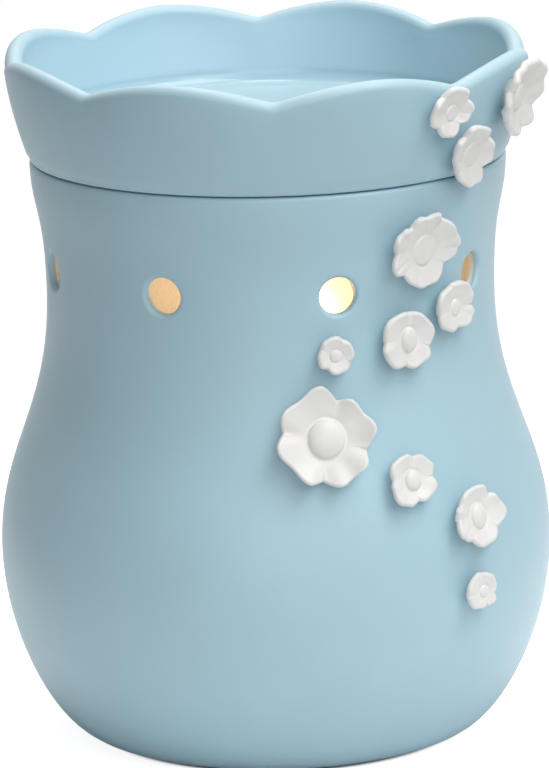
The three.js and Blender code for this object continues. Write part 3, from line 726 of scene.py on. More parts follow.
@dataclass
class LampBody:
    """The glazed casting that holds the lamp: outline, wall, light holes, floor and foot."""

    wall: float = 3.2
    foot_radius: float = 42.3
    foot_pull: float = 9.8
    belly_radius: float = 64.0
    belly_height: float = 44.2
    belly_pulls: tuple[float, float] = (21.0, 23.6)
    waist_radius: float = 51.8
    waist_height: float = 103.9
    waist_pulls: tuple[float, float] = (28.4, 20.5)
    mouth_radius: float = 54.9
    mouth_height: float = 135.2
    mouth_pull: float = 11.2
    mouth_rounding: float = 0.9
    foot_ring_width: float = 4.6
    foot_ring_taper: float = 1.0
    foot_recess: float = 5.0
    floor_thickness: float = 4.0
    floor_opening: float = 25.0
    corner_rounding: float = 1.0
    light_holes: int = 8
    light_hole_radius: float = 4.25
    light_hole_height: float = 111.5
    light_hole_turn: float = np.radians(17)
    light_hole_softening: float = 1.1
    light_band: float = 8.5  # half the height of the band that the light holes lie in
    gland_height: float = 30.0
    gland_hole: float = 5.5
    gland_band: float = 9.0
    columns: int = 192
    row_step: float = 2.0
    curve_steps: int = 400
    band_rows: int = 10
    gland_rows: int = 8
    gland_columns: int = 5  # on each side of the gland's hole
    gland_softening: float = 0.2
    corner_steps: int = 4
    mouth_steps: int = 5
    hole_rows: int = 6
    hole_bend: tuple[float, ...] = (18, 36, 54, 72, 90)  # degrees over a hole's rounded edge
    table: Array = field(init=False)

    def __post_init__(self) -> None:
        """Works out the outline as a table of length, radius, height and outward direction.

        It is three cubic curves, from the foot to the belly, to the waist and to the mouth.
        """
        up, across = np.array([0.0, 1.0]), np.array([1.0, 0.0])
        foot = np.array([self.foot_radius, 0.0])
        belly = np.array([self.belly_radius, self.belly_height])
        waist = np.array([self.waist_radius, self.waist_height])
        mouth = np.array([self.mouth_radius, self.mouth_height])
        curves = [
            (foot, foot + self.foot_pull * across, belly - self.belly_pulls[0] * up, belly),
            (belly, belly + self.belly_pulls[1] * up, waist - self.waist_pulls[0] * up, waist),
            (waist, waist + self.waist_pulls[1] * up, mouth - self.mouth_pull * up, mouth),
        ]
        share = np.linspace(0, 1, self.curve_steps + 1)[:, None]
        left = 1 - share
        parts, alongs = [], []
        for a, b, c, d in curves:
            parts.append(cubic((a, b, c, d), share)[:-1])
            along = left**2 * (b - a) + 2 * left * share * (c - b) + share**2 * (d - c)
            alongs.append((along / np.linalg.norm(along, axis=1, keepdims=True))[:-1])
        points = np.concatenate([*parts, [mouth]])
        directions = np.concatenate([*alongs, [up]])
        steps = np.linalg.norm(np.diff(points, axis=0), axis=1)
        length = np.concatenate([[0], np.cumsum(steps)])
        outward = np.stack([directions[:, 1], -directions[:, 0]], axis=1)
        self.table = np.column_stack([length, points, outward])

    def length_at(self, height: float) -> float:
        """The length along the outline, from the foot, at a height."""
        return float(np.interp(height, self.table[:, 2], self.table[:, 0]))

    def outline(self, length: Array | float, inset: float = 0.0) -> tuple[Array, ...]:
        """The outline moved inwards by an inset.

        Args:
            length: Lengths along the outline.
            inset: The distance inside the outer surface.

        Returns:
            Radius, height and the outward and upward parts of the normal.
        """
        radius, height, out, up = (
            np.interp(length, self.table[:, 0], self.table[:, i]) for i in range(1, 5)
        )
        return radius - inset * out, height - inset * up, out, up

    def wall_points(self, turns: Array, lengths: Array, inset: float) -> Array:
        """Points on the outer or the inner face of the wall.

        Args:
            turns: Their angles.
            lengths: Their lengths along the outline.
            inset: The distance inside the outer surface.

        Returns:
            The points.
        """
        radius, height, _, _ = self.outline(lengths, inset)
        return ringed(radius, height, turns)

    def frame_at(self, turn: float, height: float) -> Array:
        """A frame on the outside of the wall, at a height above the foot ring."""
        radius, _, out, up = (float(part) for part in self.outline(self.length_at(height)))
        return surface_frame(radius, out, up, turn, height, SEAT_GAP)

    def circle(
        self, turn: float, length: float, radius: float, angles: Array, inset: float
    ) -> tuple[Array, Array]:
        """A circle drawn on the wall: as far across at the hole's axis as along the outline.

        Args:
            turn: The angle of its middle.
            length: The length along the outline of its middle.
            radius: Its radius.
            angles: Where on the circle the points lie.
            inset: The distance of the drawn-on surface inside the outer one.

        Returns:
            The angle and the length of each point.
        """
        lengths = length + radius * np.sin(angles)
        around = self.outline(lengths, inset)[0]
        return turn + np.arcsin(radius * np.cos(angles) / around), lengths

    def pierced(
        self,
        turns: Array,
        lengths: Array,
        middle: tuple[float, float],
        radius: float,
        softening: float,
    ) -> list[Patch]:
        """A window of the wall with a hole through it.

        The rows run from the window's edge inwards over the outer face, round a quarter circle
        into the hole, through the wall and back out over the inner face to the window's edge.

        Args:
            turns: The angles of the window's columns.
            lengths: The lengths of its rows.
            middle: The hole's angle and length along the outline.
            radius: The hole's radius.
            softening: The rounding of its edges.

        Returns:
            The glazed rows and the bare rows.
        """
        edge_turns, edge_lengths = window_loop(turns, lengths)
        angles = np.arange(len(edge_turns)) * 2 * np.pi / len(edge_turns)
        _, _, out, up = self.outline(middle[1])
        axis = heading(middle[0]) * out + np.array([0, 0, up])

        def face(inset: float, depth: float, share: float, ring: float) -> Array:
            """One row, a share of the way from a ring round the hole to the window's edge.

            Args:
                inset: How far inside the outer face it lies.
                depth: How far it is moved into the hole, along the hole's axis.
                share: The share of the way, from 0 at the ring.
                ring: The ring's radius.

            Returns:
                The row's points.
            """
            at_turns, at_lengths = self.circle(*middle, ring, angles, inset)
            mixed_turns = (1 - share) * at_turns + share * edge_turns
            mixed_lengths = (1 - share) * at_lengths + share * edge_lengths
            return self.wall_points(mixed_turns, mixed_lengths, inset) - depth * axis

        shares = np.linspace(1, 0, self.hole_rows + 1)
        outer = [face(0.0, 0.0, share, radius + softening) for share in shares]
        inner = [face(self.wall, 0.0, share, radius + softening) for share in shares]
        for bend in np.radians(self.hole_bend):
            ring = radius + softening * (1 - np.sin(bend))
            depth = softening * (1 - np.cos(bend))
            outer.append(face(0.0, depth, 0.0, ring))
            inner.append(face(self.wall, -depth, 0.0, ring))
        glazed = [*outer, (outer[-1] + inner[-1]) / 2]
        bare = [glazed[-1], *reversed(inner)]
        return [Patch(np.stack(glazed)), Patch(np.stack(bare), finish=1)]

    def rows(self, low: float, high: float, inset: float = 0.0) -> Array:
        """Profile points between two lengths along the outline.

        Args:
            low: The length where they start.
            high: The length where they end.
            inset: The distance inside the outer surface.

        Returns:
            Radius and height, one row for each point.
        """
        count = max(2, round(abs(high - low) / self.row_step))
        radius, height, _, _ = self.outline(np.linspace(low, high, count + 1), inset)
        return np.column_stack([radius, height])

    def make(self) -> None:
        """Makes the shell as one closed surface, glazed outside and bare inside."""
        start = self.light_hole_turn - np.pi / self.light_holes
        turns = full_turn(self.columns, start)
        low, high = (
            self.length_at(self.light_hole_height + side * self.light_band) for side in (-1, 1)
        )
        gland_low, gland_high = (
            self.length_at(self.gland_height + side * self.gland_band) for side in (-1, 1)
        )
        patches = [*self.light_windows(turns, low, high), *self.collar(turns, high)]
        patches += self.bowl(turns, low, gland_low, gland_high)
        add_piece("lamp_body", patches, Body.BASE, "body_shell", BLUE_GLAZE, FIRED_CLAY)

    def light_windows(self, turns: Array, low: float, high: float) -> list[Patch]:
        """The band of light holes, one window for each hole.

        Args:
            turns: The angles of all the columns.
            low: The length along the outline where the band starts.
            high: The length where it ends.

        Returns:
            The patches.
        """
        each = self.columns // self.light_holes
        lengths = np.linspace(low, high, self.band_rows + 1)
        middle = self.length_at(self.light_hole_height)
        patches = []
        for hole in range(self.light_holes):
            first = turns[0] + hole * 2 * np.pi / self.light_holes
            window = first + np.arange(each + 1) * 2 * np.pi / self.columns
            centre = (first + np.pi / self.light_holes, middle)
            patches += self.pierced(
                window, lengths, centre, self.light_hole_radius, self.light_hole_softening
            )
        return patches

    def collar(self, turns: Array, low: float) -> list[Patch]:
        """The wall above the light holes, over the mouth and down inside.

        The mouth is rounded by two quarter circles with a level between them.

        Args:
            turns: The angles of the columns.
            low: The length along the outline where it starts and ends.

        Returns:
            The glazed outside and the bare inside.
        """
        end = self.table[-1, 0]
        outside, inside = self.rows(low, end), self.rows(end, low, self.wall)
        bend = np.radians(np.linspace(0, 90, self.mouth_steps + 1))[:, None]
        rounding = self.mouth_rounding
        level = self.mouth_height - rounding
        outer_centre = np.array([self.mouth_radius - rounding, level])
        inner_centre = np.array([self.mouth_radius - self.wall + rounding, level])
        over = outer_centre + rounding * np.hstack([np.cos(bend), np.sin(bend)])
        back = inner_centre + rounding * np.hstack([-np.sin(bend), np.cos(bend)])
        glazed = np.concatenate([outside[outside[:, 1] < level], over, back])
        bare = np.concatenate([back[-1:], inside[inside[:, 1] < level]])
        return [Patch(turned(glazed, turns)), Patch(turned(bare, turns), finish=1)]

    def bowl(self, turns: Array, top: float, gland_low: float, gland_high: float) -> list[Patch]:
        """The wall below the light holes, round the foot, over the floor and up inside.

        The foot ring and the floor are one outline with rounded corners, and it joins the inner
        face of the wall a little above the floor.

        Args:
            turns: The angles of the columns.
            top: The length along the outline where it starts and ends.
            gland_low: The length where the gland's window starts.
            gland_high: The length where it ends.

        Returns:
            The patches, with a window cut out of both faces for the gland's hole.
        """
        window_rows = np.linspace(gland_low, gland_high, self.gland_rows + 1)
        window = np.column_stack(self.outline(window_rows)[:2])
        window_back = np.column_stack(self.outline(window_rows, self.wall)[:2])
        down = self.rows(top, gland_high)
        outside = np.concatenate([down, window[-2::-1], self.rows(gland_low, 0.0)[1:]])
        floor = self.foot_recess + self.floor_thickness
        floor_length = self.length_at(floor + 2 * self.corner_rounding)
        inner_foot = self.foot_radius - self.foot_ring_width
        edge_radius, edge_height, _, _ = self.outline(floor_length, self.wall)
        lowest_radius = float(self.outline(self.length_at(floor), self.wall)[0])
        corners = [
            (self.foot_radius, 0.0),
            (inner_foot, 0.0),
            (inner_foot - self.foot_ring_taper, self.foot_recess),
            (self.floor_opening, self.foot_recess),
            (self.floor_opening, floor),
            (lowest_radius, floor),
            (float(edge_radius), float(edge_height)),
        ]
        under = softened(corners, self.corner_rounding, self.corner_steps)
        corner_rows = self.corner_steps + 1
        kept = under[corner_rows : (len(corners) - 1) * corner_rows]
        climb = self.rows(floor_length, gland_low, self.wall)
        above = self.rows(gland_high, top, self.wall)[1:]
        inside = np.concatenate([kept, climb, window_back[1:], above])
        bare = np.concatenate([outside[-1:], inside])
        column = round((np.pi - turns[0]) / (2 * np.pi) * len(turns))
        columns = slice(column - self.gland_columns, column + self.gland_columns)
        outer_skip = np.zeros((len(outside) - 1, len(turns)), bool)
        inner_skip = np.zeros((len(bare) - 1, len(turns)), bool)
        first_outer, first_inner = len(down) - 1, len(kept) + len(climb)
        outer_skip[first_outer : first_outer + self.gland_rows, columns] = True
        inner_skip[first_inner : first_inner + self.gland_rows, columns] = True
        window_turns = turns[columns.start : columns.stop + 1]
        centre = (np.pi, self.length_at(self.gland_height))
        softening = self.gland_softening
        hole = self.pierced(window_turns, window_rows, centre, self.gland_hole, softening)
        return [
            Patch(turned(outside, turns), skipped=outer_skip),
            Patch(turned(bare, turns), skipped=inner_skip, finish=1),
            *hole,
        ]


# The dish


@dataclass
class WaxDish:
    """The dish that holds the wax: flared wall, scalloped lip, flat floor and locating ring."""

    body: LampBody
    seat_radius: float = 55.0
    seat_rounding: float = 0.9
    depth: float = 15.3
    floor_height: float = 6.5
    floor_thickness: float = 3.4
    wall: float = 4.2
    wall_thickening: float = 2.2
    flare: float = 4.8
    flare_power: float = 1.6
    fillet: float = 3.6
    lobes: int = 8
    lobe_turn: float = np.radians(1.6)
    lobe_rise: float = 3.9
    lobe_lean: float = 1.3
    lobe_fullness: float = 1.8
    valley_softness: float = 0.07
    spigot_clearance: float = 0.8
    spigot_depth: float = 4.0
    spigot_wall: float = 3.0
    # paleness over the lip: thin glaze with a painted highlight on it
    lip_paleness_and_highlight: float = 0.38
    lip_fade: float = 2.0  # how far down from the lip the glaze is pale
    lip_fade_power: float = 1.5
    # painted light on the dish's floor: paler, as if lit from above
    floor_painted_light: float = 0.45
    floor_fade: float = 1.1  # how far up the fillet it is
    spigot_rounding: float = 0.8
    floor_rings: tuple[float, ...] = (44.0, 30.0, 15.0, 0.0)
    longest_step: float = 12.0
    seat_rows: int = 6
    wall_rows: int = 17
    inner_rows: int = 13
    lip_rows: int = 16
    fillet_rows: int = 10
    columns: int = 288

    @property
    def valley(self) -> float:
        """The height of the rim's valleys above the seat."""
        return self.floor_height + self.depth

    @property
    def seat(self) -> float:
        """The height of the seat above the foot ring."""
        return self.body.mouth_height + SEAT_GAP

    def lobe(self, turns: Array) -> Array:
        """How far up a lobe the rim stands: 1 at its top, 0 in the valleys.

        It is 1 less a power of the distance from the lobe's middle, with the sharp valleys
        rounded by taking the root of its square and a small square.

        Args:
            turns: Angles from the front.

        Returns:
            The share at each angle.
        """
        position = (turns - self.lobe_turn) / (2 * np.pi) * self.lobes
        from_middle = np.abs(2 * (position - np.floor(position)) - 1)
        share = 1 - from_middle**self.lobe_fullness
        soft = self.valley_softness
        return (np.sqrt(share**2 + soft**2) - soft) / (np.sqrt(1 + soft**2) - soft)

    def outside(self, turns: Array, height: Array | float) -> Array:
        """The outer radius of the wall.

        It is the seat's radius and the flare, times 1 less a power of the way that is left to the
        valleys, so it leans out most at its foot. Each lobe leans out more, by the square of the
        way up.

        Args:
            turns: Angles from the front.
            height: Heights above the seat.

        Returns:
            The radius at each point.
        """
        share = np.clip(height / self.valley, 0, 1)
        lean = self.lobe_lean * self.lobe(turns) * (height / self.valley) ** 2
        return self.seat_radius + self.flare * (1 - (1 - share) ** self.flare_power) + lean

    def inside(self, turns: Array, height: Array | float) -> Array:
        """The inner radius: the wall is thicker towards the seat."""
        thicker = self.wall_thickening * np.maximum(0, 1 - height / self.valley)
        return self.outside(turns, height) - self.wall - thicker

    def make(self) -> None:
        """Makes the dish as one closed surface of rings, from the underside to the floor.

        The rings go round the locating ring and the seat, up the outer wall, over the lip in half
        a circle, down the inner wall and through a quarter circle to the floor. From the seat up,
        a ring's height is a share of the way to the lip, which rises and falls with the lobes.
        """
        turns = full_turn(self.columns, self.lobe_turn)
        underside = self.floor_height - self.floor_thickness
        ring_outer = self.body.mouth_radius - self.body.wall - self.spigot_clearance
        ring_inner = ring_outer - self.spigot_wall
        foot = capped(
            [
                (0.0, underside),
                (ring_inner, underside),
                (ring_inner, -self.spigot_depth),
                (ring_outer, -self.spigot_depth),
                (ring_outer, 0.0),
                (0.0, 0.0),
            ],
            self.spigot_rounding,
        )[:-1]
        rings: list[Ring] = [tuple(point) for point in steps_between(foot, self.longest_step)]
        rounding = self.seat_rounding
        for bend in np.radians(np.linspace(-90, 0, self.seat_rows)):
            radius = self.seat_radius - rounding + rounding * np.cos(bend)
            rings.append((radius, rounding * (1 + np.sin(bend))))
        lip = self.wall / 2
        lip_height = self.valley + self.lobe_rise * self.lobe(turns) - lip
        lip_radius = self.outside(turns, lip_height) - lip
        for share in np.linspace(0, 1, self.wall_rows + 1)[1:]:
            height = rounding + (lip_height - rounding) * share
            rings.append((self.outside(turns, height), height))
        for bend in np.radians(np.linspace(0, 180, self.lip_rows + 1))[1:]:
            rings.append((lip_radius + lip * np.cos(bend), lip_height + lip * np.sin(bend)))
        fillet_top = self.floor_height + self.fillet
        for share in np.linspace(0, 1, self.inner_rows + 1)[1:]:
            height = lip_height + (fillet_top - lip_height) * share
            rings.append((self.inside(turns, height), height))
        pool_first = len(rings) - 1
        fillet_radius = self.inside(turns, fillet_top) - self.fillet
        for bend in np.radians(np.linspace(0, -90, self.fillet_rows + 1))[1:]:
            radius = fillet_radius + self.fillet * np.cos(bend)
            rings.append((radius, fillet_top + self.fillet * np.sin(bend)))
        rings += [(radius, self.floor_height) for radius in self.floor_rings]
        radii, heights = stacked(rings, turns)
        points = ringed(radii, heights + self.seat, turns)
        patches = [Patch(points[: pool_first + 1]), Patch(points[pool_first:], finish=1)]
        dish = add_piece("wax_dish", patches, Body.DISH, "dish", BLUE_GLAZE, POOL_GLAZE)
        self.mark_thin_glaze_and_painted_light(dish)

    def mark_thin_glaze_and_painted_light(self, dish: bpy.types.Object) -> None:
        """Marks where the glaze is paler: over the lip, where it ran thin and a painted highlight
        lies, and on the floor, where the paleness is painted light from above.

        Over the lip it fades out down the wall by a power of the way that is left, and on the
        floor it fades out evenly up the fillet.

        Args:
            dish: The dish, which gets the mark as an attribute of its points.
        """
        count = len(dish.data.vertices)
        places = np.empty(count * 3)
        dish.data.vertices.foreach_get("co", places)
        x, y, z = places.reshape(-1, 3).T / MILLIMETRE
        turns = np.arctan2(x, -y)
        top = self.valley + self.lobe_rise * self.lobe(turns) + self.seat + STAND_HEIGHT
        below = top - z
        near_lip = np.clip(1 - below / self.lip_fade, 0, 1)
        # thin glaze with a painted highlight over the lip
        over_lip = self.lip_paleness_and_highlight * near_lip**self.lip_fade_power
        above = z - (self.floor_height + self.seat + STAND_HEIGHT)
        # painted light: the floor looks paler, as if lit from above
        painted_floor_light = self.floor_painted_light * np.clip(1 - above / self.floor_fade, 0, 1)
        inside = np.hypot(x, y) < self.inside(turns, self.floor_height + self.fillet)
        in_pool = inside & (above > -self.floor_thickness / 2)
        thin_and_lit = np.maximum(over_lip, painted_floor_light * in_pool)
        marks = dish.data.attributes.new("thin_glaze_and_painted_light", "FLOAT", "POINT")
        marks.data.foreach_set("value", thin_and_lit.astype(np.float32))

    def frame_at(self, turn: float, height: float) -> Array:
        """A frame on the dish's outside, tipped by the wall's rise over a millimetre.

        Args:
            turn: The angle from the front.
            height: The height above the foot ring.

        Returns:
            A 4 by 4 matrix with +Z straight out of the wall and +Y up along it.
        """
        local = height - self.seat
        here = np.array([turn])
        rise = self.outside(here, local + 0.5) - self.outside(here, local - 0.5)
        radius = float(self.outside(here, local)[0])
        return surface_frame(radius, 1.0, -float(rise[0]), turn, height, SEAT_GAP)


# The flowers

BUTTON_ROWS = 15
GROOVE = ((0.03, 0.6), (0.07, 1.0), (0.12, 0.8), (0.18, 0.4), (0.25, 0.1))  # way out, depth
GROOVE_END = 0.34
PETAL_ROWS = 13
RIM_ROWS = 12
RIM_START = 75  # degrees above level where the rounded edge begins
UNDER_ROWS = 8


@dataclass(frozen=True)
class Petal:
    """One petal's edge: the notch before it, then the corners that the edge runs over.

    Angles are in degrees from the flower's right, reaches in millimetres from its middle, and
    lifts are how far each corner is pinched up above the flower's cup.
    """

    angle: float
    reach: float
    corners: tuple[tuple[float, float], ...]
    lifts: tuple[float, ...] = ()


@dataclass
class Flower:
    """One hand-made flower: petals between its notches, a button and the pad under it.

    Turn and height place its middle, and the button is the radius of the round middle.
    """

    name: str
    turn: float
    height: float
    button: float
    petals: tuple[Petal, ...]
    shape: ButtonShape = ButtonShape.DOME
    thickness: float = 1.5
    cup: float = 1.2  # how far the petals' edge stands above their foot
    cup_power: float = 1.4
    ruffle: float = 0.3  # how far a petal's edge sinks between two corners
    fold: float = 0.4  # and at a notch
    lap: float = 0.25  # step where one petal's edge lies over the next
    straightness: float = 0.3  # 1 runs a straight edge from corner to corner
    sharpness: float = 0.5  # 0 rounds the edge into a notch as it is rounded at a corner
    standoff: float = 1.1
    face_height: float = 2.5
    button_rise: float = 0.42
    squeeze: float = 1.0  # width of the button as a share of its height
    groove: float = 0.22
    pad_share: float = 0.42
    sink: float = 0.5  # how far the pad reaches back into the glaze it is stuck to
    notch_gap: float = 0.7  # degrees between the two sides of a notch
    lap_spread: float = 11.0  # degrees from a notch over which the lap dies away
    lap_start: float = 0.45  # share of the way out where it begins
    underside_power: float = 1.4
    disc: tuple[float, ...] = (0.12, 0.03, 0.08)  # heights of a disc, its bead and its middle
    bead_place: tuple[float, float] = (0.86, 0.09)  # shares of the disc's radius: where, how wide
    middle_width: float = 0.3
    disc_roll: float = 1.8
    column_step: float = 2.0  # degrees between columns
    fewest_columns: int = 4  # between two knots

    def edge(self) -> tuple[Array, ...]:
        """The edge of the petals all round.

        From knot to knot the reach and the lift follow half a cosine, level at both ends. At a
        notch the reach leans towards a quarter sine by the sharpness, so that it arrives there at
        a slope. Between two corners the reach loses the share of the bulge that a straight line
        cuts off, and the lift loses the ruffle, both by a squared sine.

        Returns:
            The angle, reach and lift of each column, and its side of the nearest notch, from 1
            just past it to -1 just before it.
        """
        columns: list[Array] = []
        for petal, following in zip(self.petals, (*self.petals[1:], self.petals[0])):
            lifts = petal.lifts or (0.0,) * len(petal.corners)
            knots = [
                (petal.angle + self.notch_gap / 2, petal.reach, -self.fold),
                *((angle, reach, lift) for (angle, reach), lift in zip(petal.corners, lifts)),
                (following.angle - self.notch_gap / 2, following.reach, -self.fold),
            ]
            angles, reaches, heights = np.array(knots).T
            angles = np.degrees(np.unwrap(np.radians(angles)))
            for step in range(len(knots) - 1):
                width = angles[step + 1] - angles[step]
                count = max(self.fewest_columns, int(round(width / self.column_step)))
                share = np.arange(count) / count
                last = step == len(knots) - 2
                if last:
                    share = np.arange(count + 1) / count
                level = (1 - np.cos(np.pi * share)) / 2
                eased = level.copy()
                if step == 0:
                    eased += self.sharpness * (np.sin(np.pi * share / 2) - eased)
                elif last:
                    eased += self.sharpness * (1 - np.cos(np.pi * share / 2) - eased)
                between = np.sin(np.pi * share) ** 2 * (0 < step and not last)
                bulge = self.straightness * (1 - np.cos(np.radians(width / 2)))
                reach = reaches[step] + (reaches[step + 1] - reaches[step]) * eased
                lift = heights[step] + (heights[step + 1] - heights[step]) * level
                angle = angles[step] + width * share
                after = np.exp(-(((angle - angles[0]) / self.lap_spread) ** 2))
                before = np.exp(-(((angle - angles[-1]) / self.lap_spread) ** 2))
                reach = reach * (1 - bulge * between)
                lift = lift - self.ruffle * between
                columns.append(np.stack([np.radians(angle), reach, lift, after - before]))
        return tuple(np.concatenate(columns, axis=1))

    def button_row(self, bend: float) -> tuple[float, float]:
        """A ring of the button: how far out and how high above the petals' foot.

        A dome is a flattened quarter circle. A disc is a low step with a rolled edge, a bead just
        inside it and a faint swelling in the middle.

        Args:
            bend: The angle up from the button's edge.

        Returns:
            The ring's radius and height.
        """
        radius = self.button * np.cos(bend)
        if self.shape is ButtonShape.DOME:
            return radius, self.button_rise * self.button * np.sin(bend)
        out = radius / self.button
        rolled = np.sin(np.clip(self.disc_roll * bend, 0, np.pi / 2))
        bead = np.exp(-(((out - self.bead_place[0]) / self.bead_place[1]) ** 2))
        middle = np.exp(-((out / self.middle_width) ** 2))
        return radius, float(np.dot(self.disc, (rolled, bead, middle)))

    def surface(self) -> Array:
        """The flower's rows, from the top of the button over the petals to the back of the pad.

        The petals rise by a power of the distance out, and so does their edge's lift. Where one
        petal laps the next, the step grows with the square of the distance over the outer half.
        A groove runs round the button, and the edge is half a circle in section.

        Returns:
            The grid of points in the flower's own frame.
        """
        angles, reach, lift, side = self.edge()
        half = self.thickness / 2
        out = reach - half

        def top(share: float) -> Array:
            """The height of the petals' top, a share of the way from the button to their edge.

            Args:
                share: The share of the way.

            Returns:
                The height of each column.
            """
            lapped = np.clip((share - self.lap_start) / (1 - self.lap_start), 0, 1) ** 2
            rise = (self.cup + lift) * share**self.cup_power
            return self.face_height + rise + self.lap / 2 * side * lapped

        squeezed = 1 / np.hypot(np.cos(angles) / self.squeeze, np.sin(angles))
        foot = self.button * squeezed
        rows: list[Ring] = []
        for bend in np.radians(np.linspace(90, 0, BUTTON_ROWS)):
            radius, height = self.button_row(float(bend))
            rows.append((radius * squeezed, self.face_height + height))
        for share, drop in GROOVE:
            rows.append((foot + (out - foot) * share, top(share) - drop * self.groove))
        for share in np.linspace(GROOVE_END, 1, PETAL_ROWS):
            rows.append((foot + (out - foot) * share, top(float(share))))
        rim = top(1.0) - half
        for bend in np.radians(np.linspace(RIM_START, -90, RIM_ROWS)):
            rows.append((out + half * np.cos(bend), rim + half * np.sin(bend)))
        pad = self.pad_share * np.median(reach)
        under = top(1.0) - self.thickness
        for share in np.linspace(1, 0, UNDER_ROWS)[1:]:
            height = self.standoff + (under - self.standoff) * share**self.underside_power
            rows.append((pad + (out - pad) * share, height))
        rows += [(pad, -self.sink), (0.0, -self.sink)]
        radii, heights = stacked(rows, angles)
        return np.stack([radii * np.cos(angles), radii * np.sin(angles), heights], axis=-1)

    def make(self, place: Array, body: Body, node: str) -> None:
        """Makes the flower at its place.

        Args:
            place: The frame on the surface that carries it.
            body: The body that it rides on.
            node: The CAD node that it stands for.
        """
        patch = Patch(placed(self.surface(), place))
        add_piece(f"{node}_petals", [patch], body, node, WHITE_GLAZE)


DISH_FLOWERS = (
    Flower(
        "small", 41.6, 152.5, 1.7,
        (
            Petal(38, 5.0, ((60, 6.3), (104, 6.5)), (0.4, 0.2)),
            Petal(133, 5.8, ((157, 6.8), (192, 7.1)), (0.3, 0.0)),
            Petal(217, 5.4, ((238, 6.0), (270, 5.6))),
            Petal(310, 3.7, ((340, 5.1), (8, 5.9)), (0.0, 0.2)),
        ),
        shape=ButtonShape.DISC, thickness=1.7, groove=0.25, fold=0.45, cup=1.2, ruffle=0.2,
    ),
    Flower(
        "low", 50.1, 141.8, 2.7,
        (
            Petal(42, 6.1, ((66, 7.1), (115, 8.1)), (0.6, 0.3)),
            Petal(132, 6.6, ((150, 8.6), (173, 7.5), (203, 6.4)), (0.5, 0.2, 0.0)),
            Petal(222, 6.2, ((246, 6.9), (281, 8.3), (302, 8.5))),
            Petal(323, 6.2, ((346, 7.3), (14, 6.8)), (0.2, 0.4)),
        ),
        shape=ButtonShape.DISC, thickness=1.7, groove=0.15, fold=0.5, cup=1.2, ruffle=0.2,
    ),
    Flower(
        "side", 65.5, 152.2, 3.0,
        (
            Petal(98, 8.4, ((120, 9.6), (144, 9.8)), (0.5, 0.6)),
            Petal(162, 8.6, ((186, 9.0), (206, 8.6)), (0.3, 0.0)),
            Petal(222, 7.6, ((246, 8.8), (276, 9.2)), (0.0, 0.2)),
            Petal(294, 8.6, ((318, 9.8),), (0.6,)),
            Petal(340, 8.2, ((6, 9.8), (40, 10.4), (72, 9.8)), (0.8, 1.2, 0.8)),
        ),
        thickness=2.0, button_rise=0.15, groove=0.3, fold=0.5, squeeze=0.8, cup=1.5, ruffle=0.5,
    ),
)
